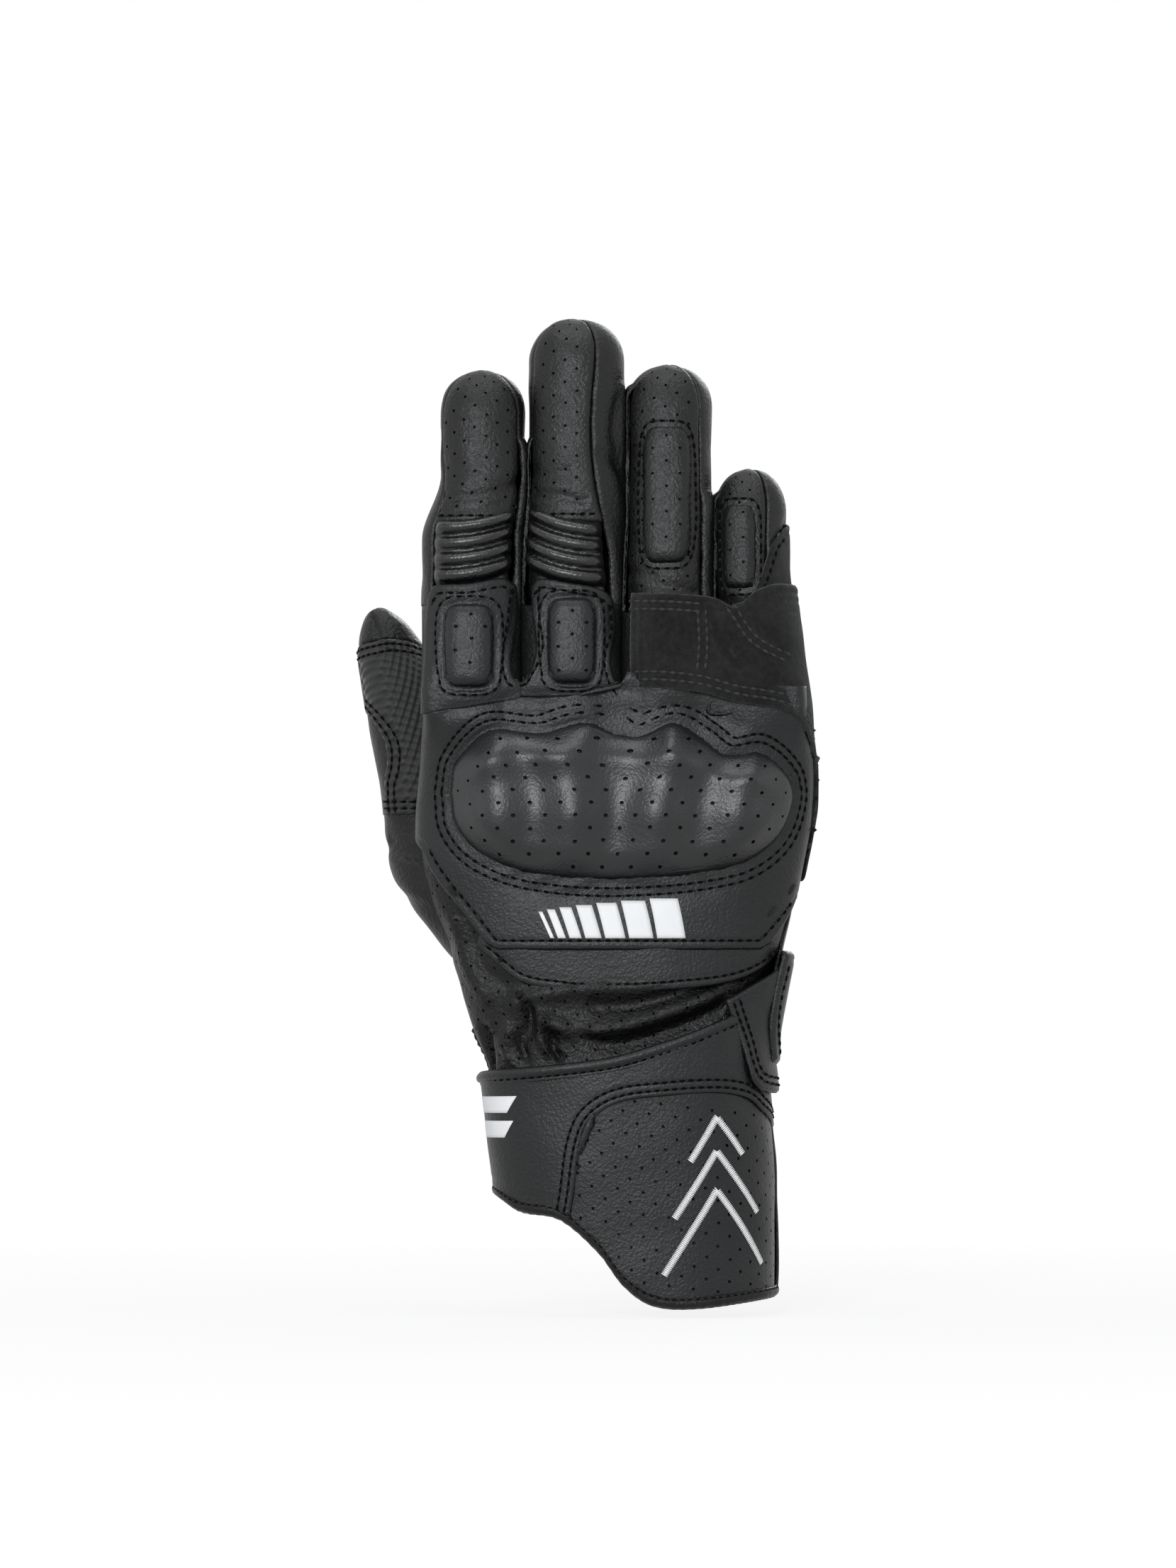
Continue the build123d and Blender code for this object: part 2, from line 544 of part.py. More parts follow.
def strap_set(stations, z, free_end, root_side, root_y):
    """A strap round one side of a form, from root_y to its free end, with its two fastener patches."""
    loops = (LAYER_GAP, LAYER_GAP + HOOK_LOOP)
    hooks = (loops[1] + BODY_GAP, loops[1] + BODY_GAP + HOOK_LOOP)
    strap = (hooks[1] + LAYER_GAP, hooks[1] + LAYER_GAP + STRAP_THICK)
    inward = root_side * PATCH_INSET
    patch_x = sorted((free_end + inward, free_end + root_side * PATCH_LENGTH))
    patch_z = (z[0] + PATCH_INSET, z[1] - PATCH_INSET)
    return (strip(stations, loops, patch_z, patch_x, corner=PATCH_CORNER),
            strip(stations, hooks, patch_z, patch_x, corner=PATCH_CORNER),
            strip(stations, strap, z, sorted((free_end, root_side * FAR)), root_y))


def strap_pieces():
    """Wrist strap with its anchor on the outer side, and the flap that closes the cuff."""
    loops, hooks, strap = strap_set(HAND_FORM, STRAP_Z, STRAP_END, 1, STRAP_ROOT_Y)
    flap_loops, flap_hooks, flap = strap_set(CUFF_FORM, FLAP_Z, FLAP_END, -1, FLAP_ROOT_Y)
    top = LAYER_GAP * 2 + BODY_GAP + HOOK_LOOP * 2 + STRAP_THICK
    anchor = (form(HAND_FORM, top) - form(HAND_FORM, LAYER_GAP)) & block(z=ANCHOR_Z)
    anchor &= block(x=(0, FAR), y=(ANCHOR_BACK, STRAP_ROOT_Y - BODY_GAP))
    fold = (form(CUFF_FORM, top) - form(CUFF_FORM, BODY_GAP)) & block(z=FLAP_Z)
    fold &= block(x=(-FAR, 0), y=(FLAP_ROOT_Y, FLAP_ROOT_Y + FLAP_FOLD))
    return {
        "strap_anchor": anchor,
        "strap_loop_patch": loops,
        "strap_hook_patch": hooks,
        "wrist_strap": strap,
        "cuff_loop_patch": flap_loops,
        "flap_hook_patch": flap_hooks,
        "cuff_flap": flap + fold,
    }


# ---------------------------------------------------------------- soft pieces
def soft_pieces():
    """Pieces that stretch or fold where the glove bends, and the linings inside the fingers."""
    fingers = list(FINGERS.values())
    inset = LEATHER + BODY_GAP
    thumb_lining = thumb_tube((THUMB_AXIS[2] - THUMB_GAP + BODY_GAP, 2 * FAR), inset, inset + LINING)
    gusset_range = (GUSSET_LOW, GUSSET_HIGH)
    elastic = -GUSSET_WALL - LAYER_GAP
    return {
        "bend_gussets": together(bend_gusset(f) for f in fingers),
        "knuckle_gussets": together(knuckle_gusset(f) for f in fingers),
        "finger_linings": together(finger_lining(f) for f in fingers) + thumb_lining,
        "wrist_gusset": shell(GUSSET_FORM, 0.0, -GUSSET_WALL, gusset_range),
        "wrist_elastic": shell(GUSSET_FORM, elastic, elastic - ELASTIC, ELASTIC_Z),
    }


def together(solids):
    """One part of several separate solids."""
    group = Part()
    for solid in solids:
        group += solid
    return group


# ---------------------------------------------------------------- the glove
def glove():
    """Every node of the glove by name."""
    thumb = thumb_hole()
    nodes = {**hand_leather(thumb), **guard_pieces(), **hand_layers(thumb), **bridge()}
    for name, finger in FINGERS.items():
        nodes.update(finger_pieces(name, finger))
    nodes.update({**thumb_pieces(), **cuff_pieces(), **strap_pieces(), **soft_pieces()})
    return nodes


os.makedirs("parts", exist_ok=True)
for node, shape in glove().items():
    export_step(shape, f"parts/{node}.step", write_pcurves=False)
    print(node, len(shape.solids()), round(shape.volume))
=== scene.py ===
# %% [markdown]
# # A leather riding glove
#
# This lesson dresses a packed model of a right-hand riding glove. Its solids give every place and size;
# here each leather panel gets its real look: soft edges, seams that sink in, punched holes, thread, folds.
# The glove stands upright, fingers up. Its back faces -Y, its palm +Y, and the little finger is at +X.
# Sizes below are in millimetres, and each finished mesh is brought to metres at its end.

# %% Load the frame
from bisect import bisect
from math import asin, copysign, cos, exp, hypot, pi, sin, sqrt

import bmesh
import bpy
from mathutils import Matrix, Vector, kdtree, noise
from mathutils.bvhtree import BVHTree


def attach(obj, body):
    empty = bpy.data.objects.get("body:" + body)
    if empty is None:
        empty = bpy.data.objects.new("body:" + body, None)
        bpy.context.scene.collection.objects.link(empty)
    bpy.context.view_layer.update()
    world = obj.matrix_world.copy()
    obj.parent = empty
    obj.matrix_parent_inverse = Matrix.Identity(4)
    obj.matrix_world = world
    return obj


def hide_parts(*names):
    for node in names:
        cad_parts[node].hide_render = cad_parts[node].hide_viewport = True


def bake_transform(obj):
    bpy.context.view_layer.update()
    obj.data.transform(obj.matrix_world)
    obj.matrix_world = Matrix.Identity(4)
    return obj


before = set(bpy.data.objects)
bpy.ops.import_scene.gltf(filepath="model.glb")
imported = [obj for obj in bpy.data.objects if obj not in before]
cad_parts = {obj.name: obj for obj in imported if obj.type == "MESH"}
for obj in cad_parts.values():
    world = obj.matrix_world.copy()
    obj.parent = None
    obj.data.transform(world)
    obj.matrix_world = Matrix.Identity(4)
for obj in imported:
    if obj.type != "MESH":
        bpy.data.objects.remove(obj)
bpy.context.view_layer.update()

# %% [markdown]
# ## Small tools
#
# A pattern maker thinks in smooth curves and soft steps. `ramp` is a soft step from 0 to 1, `mix` goes
# from one value to another, and `between` reads a smooth value from a table of rows, so a form is
# described by a few rounded sections and stays free of kinks where the sections meet.

# %% Soft steps and smooth tables
COARSE = 1.0


def ramp(low, high, t):
    t = max(0.0, min(1.0, (t - low) / (high - low)))
    return t * t * (3 - 2 * t)


def mix(a, b, share):
    return a + (b - a) * share


def power(base, exponent):
    return copysign(abs(base) ** exponent, base)


def between(rows, t):
    """Values of a table at t, along a smooth curve through its rows; each row starts with its own t."""
    t = max(rows[0][0], min(rows[-1][0], t))
    i = min(len(rows) - 2, max(0, bisect([row[0] for row in rows], t) - 1))
    a, b = rows[i], rows[i + 1]
    before, after = rows[max(i - 1, 0)], rows[min(i + 2, len(rows) - 1)]
    step = b[0] - a[0]
    s = (t - a[0]) / step
    values = []
    for k in range(1, len(a)):
        start = (b[k] - before[k]) / (b[0] - before[0]) * step
        end = (after[k] - a[k]) / (after[0] - a[0]) * step
        values.append(a[k] * (1 + 2 * s) * (1 - s) ** 2 + b[k] * s * s * (3 - 2 * s)
                      + start * s * (1 - s) ** 2 - end * s * s * (1 - s))
    return values


def trace(points, pitch=0.5, soft=True):
    """Evenly spaced points along a line through the given ones, rounded unless soft is off."""
    points = [Vector((*p, 0.0)[:3]) for p in points]
    points = points[:1] + [b for a, b in zip(points, points[1:]) if (b - a).length > 1e-4]
    lengths = [0.0]
    for a, b in zip(points, points[1:]):
        lengths.append(lengths[-1] + (b - a).length)
    count = max(2, round(lengths[-1] / pitch))
    rows = [(s, *p) for s, p in zip(lengths, points)]
    if soft and len(points) > 2:
        return [Vector(between(rows, lengths[-1] * k / count)) for k in range(count + 1)]
    spots = []
    for k in range(count + 1):
        s = lengths[-1] * k / count
        i = min(len(points) - 2, bisect(lengths, s) - 1 if s < lengths[-1] else len(points) - 2)
        spots.append(points[i].lerp(points[i + 1], (s - lengths[i]) / (lengths[i + 1] - lengths[i])))
    return spots


print("a soft step half way:", ramp(0, 1, 0.5))

# %% [markdown]
# ## The forms that the leather lies on
#
# A glove is sewn from flat pieces, and they take the shape of the hand inside. So each part of the hand
# is one closed form here: rounded sections at rising heights, with a flat pattern wrapped round it. A
# place on the pattern is (p, z): p runs round the form in millimetres, 0 at the middle of the back and
# rising towards the little finger, and z is the height. Working on the pattern keeps holes round and
# seams at an even distance from the edge, just as on the maker's table. The other way, a sculpted mesh,
# would look alive too but could not tell where its own seams are.

# %% Forms
class Form:
    """Rounded sections; each station gives a height, then the left, right, back and palm sides."""
    STEPS = 720                 # parts into which the way round is divided
    REACH = 0.9                 # distance over which the outward direction is read

    def __init__(self, stations, round_=2.6):
        self.stations, self.round = stations, round_
        wide = sum(s[2] - s[1] for s in stations) / len(stations) / 2
        deep = sum(s[4] - s[3] for s in stations) / len(stations) / 2
        self.angles = [-pi + 2 * pi * k / self.STEPS for k in range(self.STEPS + 1)]
        spots = [Vector((wide * power(sin(a), 2 / round_), deep * power(cos(a), 2 / round_)))
                 for a in self.angles]
        self.arcs = [0.0]
        for a, b in zip(spots, spots[1:]):
            self.arcs.append(self.arcs[-1] + (b - a).length)
        self.around = self.arcs[-1]
        self.arcs = [s - self.around / 2 for s in self.arcs]
        self.side = self.around / 4

    def angle(self, p):
        p = (p + self.around / 2) % self.around - self.around / 2
        i = min(self.STEPS - 1, max(0, bisect(self.arcs, p) - 1))
        share = (p - self.arcs[i]) / (self.arcs[i + 1] - self.arcs[i])
        return mix(self.angles[i], self.angles[i + 1], share)

    def arc(self, angle):
        k = (angle + pi) / (2 * pi) * self.STEPS
        i = min(self.STEPS - 1, max(0, int(k)))
        return mix(self.arcs[i], self.arcs[i + 1], k - i)

    def section(self, z):
        """Height, left, right, back, palm, roundness along x, and along y."""
        return (z, *between(self.stations, z), self.round, self.round)

    def point(self, angle, z):
        height, left, right, back, palm, round_x, round_y = self.section(z)
        x = (left + right) / 2 + (right - left) / 2 * power(sin(angle), 2 / round_x)
        y = (back + palm) / 2 - (palm - back) / 2 * power(cos(angle), 2 / round_y)
        return Vector((x, y, height))

    def at(self, p, z):
        return self.point(self.angle(p), z)

    def share(self, r):
        """Place on the pattern of a share r, from -1 to 1, of the half width."""
        r = max(-1.0, min(1.0, r))
        return self.arc(asin(power(r, self.round / 2)))

    def wrap(self, x, z):
        """Place on the pattern of a point seen from the back at (x, z)."""
        _, left, right, *_, round_x, _ = self.section(z)
        r = max(-1.0, min(1.0, (x - (left + right) / 2) / ((right - left) / 2)))
        return self.arc(asin(power(r, round_x / 2)))

    def seen(self, *points):
        """Outline seen from the back, as places on the pattern."""
        return [(self.wrap(x, z), z) for x, z in points]

    def normal(self, p, z):
        across = self.at(p + self.REACH, z) - self.at(p - self.REACH, z)
        along = self.at(p, z + self.REACH) - self.at(p, z - self.REACH)
        return across.cross(along).normalized()


print("a form's way round has", Form.STEPS, "parts")

# %% [markdown]
# A finger narrows from its root to its tip, curls a little towards the palm and ends in a dome. Over the
# dome the pattern's height runs on as an arc, so a panel can be laid right over the fingertip.


# %% Fingers
class Finger(Form):
    DOME, ARC = 12.0, 18.4      # height of the rounded tip, and the way over it
    ROOT = 175.5                # height of the root
    ROOT_DEPTH, JOINT_DEPTH = 15.4, 12.4        # half depths at the root and at the middle joint
    ROUNDING = (168, 191)       # heights between which the flat root grows round

    def __init__(self, root, tip, taper, top, curl, bend, depth):
        self.root, self.tip, self.taper, self.top = root, tip, taper, top
        self.curl, self.bend, self.depth = curl, bend, depth
        wide, deep = (tip[1] - tip[0] + root[1] - root[0]) / 4, (depth + 13.5) / 2
        super().__init__([(0, -wide, wide, -deep, deep)], 2.25)
        self.end = top - self.DOME + self.ARC

    def section(self, z):
        over = max(0.0, z - (self.top - self.DOME)) / self.ARC * pi / 2
        scale = max(0.0, cos(min(over, pi / 2))) ** 0.8
        z = min(z, self.top - self.DOME) + self.DOME * sin(min(over, pi / 2))
        share = ramp(*self.taper, z)
        left, right = mix(self.root[0], self.tip[0], share), mix(self.root[1], self.tip[1], share)
        depth = mix(self.ROOT_DEPTH, self.JOINT_DEPTH, ramp(self.ROOT, self.bend, z))
        if z > self.bend:
            depth = mix(self.JOINT_DEPTH, self.depth, ramp(self.bend, self.top - self.DOME, z))
        lean = self.curl * max(0.0, (z - self.ROOT) / (self.top - self.ROOT)) ** 1.6
        middle, half = (left + right) / 2, (right - left) / 2 * scale
        full = mix(0.42, 1.0, ramp(*self.ROUNDING, z))
        return (z, middle - half, middle + half, lean - depth * scale, lean + depth * scale,
                self.round, self.round / full)


# sides at the root, at the tip, heights of the taper, top, curl, height of the joint, half depth
INDEX = Finger((-59.6, -31.6), (-54.4, -30.3), (218, 237), 265.8, 11, 214, 11.6)
MIDDLE = Finger((-31.0, -3.2), (-29.2, -2.1), (206, 236), 280.6, 13, 214, 12.2)
RING = Finger((-2.5, 22.6), (-1.5, 22.9), (200, 224), 267.4, 12, 208, 11.4)
LITTLE = Finger((23.5, 48.4), (23.4, 43.9), (176, 210), 237.8, 8, 201, 10.0)
FINGERS = {"index": INDEX, "middle": MIDDLE, "ring": RING, "little": LITTLE}
print("round the index finger:", round(INDEX.around, 1), "mm")

# %% [markdown]
# The hand's form runs from the wrist to the roots of the fingers. Near its top the back sinks in between
# the fingers and takes their sections, so the back panel runs on into the finger tabs without a step.

# %% Kinds of forms
class Hand(Form):
    TURN_BACK, TURN_PALM, TURN = 158, 166, 12   # where either side takes the fingers' depth, over a height
    LEAST = 15.2                # half depth between the fingers' roots
    OVER = 1.25                 # the hand's form lies this far over the fingers'

    def section(self, z):
        squarer = self.round + 1.6 * ramp(140, 176, z)
        return (z, *between(self.stations, z), squarer, squarer)

    def point(self, angle, z):
        spot = super().point(angle, z)
        low = self.TURN_BACK if spot.y < 0 else self.TURN_PALM
        share = ramp(low, low + self.TURN, z) * ramp(3, 12, abs(spot.y))
        if share:
            spot.y = mix(spot.y, self.root_depth(spot.x, z) * copysign(1, spot.y), share)
        return spot

    def root_depth(self, x, z):
        """How far the nearest finger's root stands out from the middle plane at x."""
        best = self.LEAST
        for finger in FINGERS.values():
            _, left, right, back, palm, round_x, round_y = finger.section(max(z, 168))
            r = min(1.0, abs(x - (left + right) / 2) / ((right - left) / 2))
            rise = (1 - r ** round_x) ** (1 / round_y)
            best = max(best, (palm - back) / 2 * rise + self.OVER)
        return best


class Merged(Form):
    """A form that turns from one into another over a range of heights."""

    def __init__(self, first, second, heights):
        self.first, self.second, self.heights = first, second, heights
        self.angles, self.arcs = second.angles, second.arcs
        self.around, self.side = second.around, second.side

    def section(self, z):
        share = ramp(*self.heights, z)
        return [mix(a, b, share) for a, b in zip(self.first.section(z), self.second.section(z))]

    def point(self, angle, z):
        share = ramp(*self.heights, z)
        return self.first.point(angle, z).lerp(self.second.point(angle, z), share)


class Thumb(Form):
    """The thumb's pattern height runs on over the rounded tip, so each row also gives its real height."""

    def __init__(self, stations, round_):
        super().__init__([(u, *row) for u, _, *row in stations], round_)
        self.heights = stations

    def section(self, z):
        height, left, right, back, palm = between(self.heights, z)
        return (height, left, right, back, palm, self.round, self.round)


print("kinds of forms: fingers, hand, merged and thumb")

# %% [markdown]
# The stations of every form are rows of height, left, right, back and palm. The thumb's rows start with
# the height on its pattern, because the pattern runs on over the rounded tip.

# %% Hand, wrist, cuff and thumb
HAND = Hand([
    (66.0, -43.0, 38.0, -20.6, 21.0), (76.0, -46.6, 38.8, -20.6, 21.0), (86.0, -49.8, 40.0, -20.6, 21.0),
    (98.0, -52.4, 42.0, -20.4, 20.8), (110.0, -56.2, 45.2, -20.0, 20.6), (124.0, -60.4, 48.4, -19.4, 20.4),
    (138.0, -61.0, 51.0, -18.6, 19.8), (152.0, -60.0, 51.6, -17.8, 18.4), (166.0, -59.2, 50.2, -17.0, 16.8),
    (190.0, -59.4, 48.4, -16.0, 15.6)])
GUSSET = Form([
    (54.0, -39.0, 36.2, -23.6, 23.6), (62.0, -39.2, 36.0, -22.6, 22.6), (70.0, -41.2, 35.8, -19.6, 19.6),
    (78.0, -44.8, 36.4, -18.6, 18.6), (86.0, -47.4, 37.4, -18.5, 18.5), (94.0, -49.4, 38.8, -18.5, 18.5),
    (102.0, -51.0, 40.4, -18.5, 18.5), (134.0, -60.0, 49.0, -18.0, 18.6)])
CUFF = Form([
    (-8.0, -38.0, 40.8, -27.6, 27.6), (12.0, -38.2, 41.0, -27.4, 27.4), (32.0, -38.8, 41.0, -27.0, 27.0),
    (48.0, -40.6, 40.4, -26.6, 26.6), (62.0, -42.0, 39.0, -26.2, 26.2), (74.0, -43.0, 38.0, -25.8, 25.8),
    (92.0, -44.0, 37.0, -25.4, 25.4)])
THUMB = Thumb([
    (88.0, 88.0, -43.0, -14.0, -8.0, 17.0), (104.0, 104.0, -56.0, -14.0, -9.0, 24.0),
    (117.0, 117.0, -65.6, -18.0, -7.0, 31.5), (128.0, 128.0, -70.2, -27.5, 2.0, 37.5),
    (140.0, 140.0, -71.2, -43.5, 15.0, 41.0), (152.0, 152.0, -72.6, -45.2, 15.6, 41.0),
    (164.0, 164.0, -74.8, -47.8, 15.8, 40.6), (175.0, 175.0, -76.4, -51.6, 16.2, 39.6),
    (184.0, 184.0, -77.5, -57.4, 17.2, 38.4), (189.8, 189.6, -77.3, -61.4, 18.8, 36.8),
    (195.4, 193.9, -76.2, -64.8, 21.2, 34.6), (200.2, 196.7, -74.9, -68.4, 24.2, 31.8),
    (203.2, 197.8, -73.6, -70.6, 26.6, 29.4), (205.0, 198.0, -72.1, -72.1, 28.0, 28.0)], 2.25)
BRIDGE = Form([
    (120.0, -3.6, 50.0, -19.4, 19.0), (160.0, -3.4, 50.8, -18.4, 18.0), (175.0, -3.2, 49.2, -16.8, 17.0),
    (190.0, -3.0, 47.2, -16.0, 16.4), (205.0, -2.6, 45.6, -14.8, 17.0)], 3.2)
WRIST = Merged(GUSSET, HAND, (90, 112))
print("round the hand:", round(HAND.around, 1), "mm; round the cuff:", round(CUFF.around, 1), "mm")

# %% [markdown]
# The outer side of the glove is one sweep of suede that leaves the hand's form and bridges the roots of
# the ring and little fingers, so its form turns from the one into the other.


# %% Outer side and knuckle tabs
class Tab(Form):
    """A finger's form that starts flush with the back of the hand."""

    def __init__(self, finger):
        self.__dict__.update(finger.__dict__)
        self.finger, self.section = finger, finger.section

    def at(self, p, z):
        spot = self.finger.at(p, z)
        on_hand = HAND.at(HAND.wrap(spot.x, z), z).y + HAND.OVER
        spot.y = mix(on_hand, spot.y, ramp(172, 190, z))
        return spot


class Outer(Form):
    TURN = (156, 178)           # heights between which the hand's form turns into the bridge

    def __init__(self):
        self.__dict__.update(BRIDGE.__dict__)

    def at(self, p, z):
        on_hand = HAND.at(HAND.side + p - BRIDGE.side, z)
        return on_hand.lerp(BRIDGE.at(p, z), ramp(*self.TURN, z))

    def wrap(self, x, z):
        on_hand = HAND.wrap(x, z) - HAND.side + BRIDGE.side
        return mix(on_hand, BRIDGE.wrap(x, z), ramp(*self.TURN, z))


OUTER = Outer()
print("bridge pattern reaches", round(BRIDGE.side, 1), "mm to the outer edge")

# %% [markdown]
# ## Finishes
#
# Every finish is made from nodes. A small helper adds a node, joins its inputs and hands back its output.
# Numbers that are the same all over a finish stay on the shader's own sockets.


# %% Node helper
class Finish:
    def __init__(self, name, colour, roughness, **sockets):
        self.material = bpy.data.materials.new(name)
        self.material.use_nodes = True
        self.tree = self.material.node_tree
        self.shader = self.tree.nodes["Principled BSDF"]
        self.shader.inputs["Base Color"].default_value = (*colour, 1)
        self.shader.inputs["Roughness"].default_value = roughness
        for socket, value in sockets.items():
            self.shader.inputs[socket.replace("_", " ")].default_value = value
        self.place = self.add("ShaderNodeTexCoord", out="Object")

    def add(self, kind, out=0, inputs=None, **settings):
        node = self.tree.nodes.new(kind)
        for key, value in settings.items():
            setattr(node, key, value)
        for key, value in (inputs or {}).items():
            if isinstance(value, bpy.types.NodeSocket):
                self.tree.links.new(value, node.inputs[key])
            else:
                node.inputs[key].default_value = value
        return node.outputs[out]

    def noise(self, size, detail=3, rough=0.5):
        """Cloudy pattern with spots of a size in millimetres."""
        return self.add("ShaderNodeTexNoise", inputs={
            "Vector": self.place, "Scale": 1000 / size, "Detail": detail, "Roughness": rough})

    def cells(self, size, place):
        """Distance to the nearest middle of a cell, of a size in millimetres."""
        return self.add("ShaderNodeTexVoronoi", out="Distance", inputs={
            "Vector": place, "Scale": 1000 / size})

    def math(self, operation, a, b=0.0):
        return self.add("ShaderNodeMath", inputs={0: a, 1: b}, operation=operation)

    def map(self, value, low, high, to_low=0.0, to_high=1.0):
        return self.add("ShaderNodeMapRange", inputs={
            "Value": value, "From Min": low, "From Max": high, "To Min": to_low, "To Max": to_high})

    def shades(self, value, *stops):
        """Colours along a value: (position, colour) pairs."""
        ramp_out = self.add("ShaderNodeValToRGB", inputs={"Fac": value})
        elements = ramp_out.node.color_ramp.elements
        while len(elements) < len(stops):
            elements.new(0.5)
        for element, (position, colour) in zip(elements, stops):
            element.position, element.color = position, (*colour, 1)
        return ramp_out

    def wire(self, socket, value):
        self.tree.links.new(value, self.shader.inputs[socket])

    def bump(self, height, depth, strength=1.0, under=None):
        """Relief of a depth in millimetres; several can lie over each other."""
        inputs = {"Height": height, "Distance": depth / 1000, "Strength": strength}
        if under:
            inputs["Normal"] = under
        return self.add("ShaderNodeBump", inputs=inputs)


def grey(level, warm=0.0):
    return (level * (1 + warm), level, level * (1 - warm))


print("helper ready")

# %% [markdown]
# ### Grained and smooth leather
#
# Drum-dyed leather shows small rounded pebbles with fine creases between them, larger on the soft finger
# leather, finer on the firm back panel, and pulled nearly flat and glossy where leather is taut. Two cell
# patterns of different size make the pebbles, a cloud bends them, and slow clouds vary colour and gloss
# the way handling does. A picture of leather could do it too, but it would repeat and blur close up.


# %% Leather
def leather_finish(name, level, pebble, depth, roughness, spread=0.10, blue=0.02, gloss=0.4):
    f = Finish(name, grey(level, -blue), roughness, Specular_IOR_Level=gloss)
    bent = f.add("ShaderNodeVectorMath", operation="MULTIPLY_ADD", inputs={
        0: f.noise(pebble * 2.2, 2).node.outputs["Color"], 1: (pebble * 0.0009,) * 3, 2: f.place})
    big = f.map(f.cells(pebble, bent), 0.0, 0.75, 1.0, 0.0)
    small = f.map(f.cells(pebble * 0.42, bent), 0.0, 0.8, 1.0, 0.0)
    grain = f.math("ADD", f.math("MULTIPLY", big, 0.65), f.math("MULTIPLY", small, 0.35))
    pores = f.noise(pebble * 0.5, 4)
    creased = f.noise(9.0, 5, rough=0.62)
    height = f.bump(creased, 0.25, 0.4)
    height = f.bump(grain, depth, 0.9, height)
    f.wire("Normal", f.bump(pores, depth * 0.35, 0.5, height))
    clouds = f.noise(26.0, 4)
    tone = f.math("ADD", f.math("MULTIPLY", clouds, 0.7), f.math("MULTIPLY", grain, 0.3))
    dark, light = level * 0.72, level * 1.35
    f.wire("Base Color", f.shades(tone, (0.28, grey(dark, -blue)), (0.72, grey(light, -blue))))
    f.wire("Roughness", f.map(f.noise(7.0, 3), 0.25, 0.75, roughness - spread, roughness + spread))
    return f.material


# brightness, pebble and depth in millimetres, roughness and its spread, bluish tint, gloss
GRAINED = leather_finish("grained leather", 0.0048, 1.15, 0.20, 0.44, 0.05, 0.04, 0.30)
SMOOTH = leather_finish("smooth leather", 0.0060, 1.00, 0.15, 0.44, 0.04, 0.10, 0.34)
TAUT = leather_finish("taut guard leather", 0.0078, 0.95, 0.09, 0.38, 0.03, 0.10, 0.50)
GLOSSY = leather_finish("stretched rib leather", 0.0035, 1.0, 0.10, 0.32, 0.05, 0.05, 0.50)
DARK = leather_finish("dark wrist leather", 0.0035, 1.4, 0.30, 0.44, 0.06, 0.02, 0.24)
print("leathers:", GRAINED.name, SMOOTH.name, TAUT.name, GLOSSY.name, DARK.name)

# %% [markdown]
# ### Suede, weave, lining, elastic, thread and the rest
#
# Suede is the rough side of the hide: no gloss, a soft nap that catches light at the edge, and blotches
# where it was brushed. Woven panels and elastic follow waves across the piece. Holes get a black inner
# wall, painted shade that stands for the dark inside seen through them.


# %% Other finishes
def suede_finish(name, level):
    f = Finish(name, grey(level, 0.02), 0.95, Specular_IOR_Level=0.12, Sheen_Weight=0.2, Sheen_Roughness=0.55)
    nap, tufts, brushed = f.noise(0.55, 6, rough=0.7), f.noise(1.7, 4, rough=0.7), f.noise(11.0, 4)
    f.wire("Normal", f.bump(nap, 0.3, 0.8, f.bump(tufts, 0.5, 0.6, f.bump(brushed, 0.6, 0.5))))
    tone = f.math("ADD", f.math("MULTIPLY", tufts, 0.6), f.math("MULTIPLY", brushed, 0.4))
    f.wire("Base Color", f.shades(tone, (0.34, grey(level * 0.35, 0.03)), (0.66, grey(level * 1.9, 0.02))))
    return f.material


def woven_finish(name, level, pitch, roughness=0.7, depth=0.25, tilt=0.0):
    f = Finish(name, grey(level), roughness, Specular_IOR_Level=0.35, Sheen_Weight=0.15)
    turned = f.add("ShaderNodeMapping", inputs={"Vector": f.place, "Rotation": (0, tilt, 0)})
    parts = f.add("ShaderNodeSeparateXYZ", inputs={0: turned})
    turn = 2 * pi * 1000 / pitch
    across = f.math("ADD", parts, parts.node.outputs["Y"])
    waves = [f.math("SINE", f.math("MULTIPLY", v, turn)) for v in (across, parts.node.outputs["Z"])]
    weave = f.math("MULTIPLY", *waves)
    height = f.math("ADD", weave, f.math("MULTIPLY", f.noise(pitch * 0.4, 4), 0.6))
    f.wire("Normal", f.bump(height, depth, 0.8))
    tone = f.map(height, -1.0, 1.4)
    f.wire("Base Color", f.shades(tone, (0.1, grey(level * 0.45)), (0.9, grey(level * 1.7))))
    return f.material


def plain_finish(name, level, roughness, size, depth, clouds=0.2, **sockets):
    f = Finish(name, grey(level), roughness, **sockets)
    marks = f.noise(size, 5, rough=0.65)
    f.wire("Normal", f.bump(marks, depth, 0.6))
    tone = f.noise(size * 9, 4)
    f.wire("Base Color", f.shades(tone, (0.3, grey(level * (1 - clouds))), (0.7, grey(level * (1 + clouds)))))
    f.wire("Roughness", f.map(marks, 0.3, 0.7, roughness - 0.08, min(1.0, roughness + 0.08)))
    return f.material


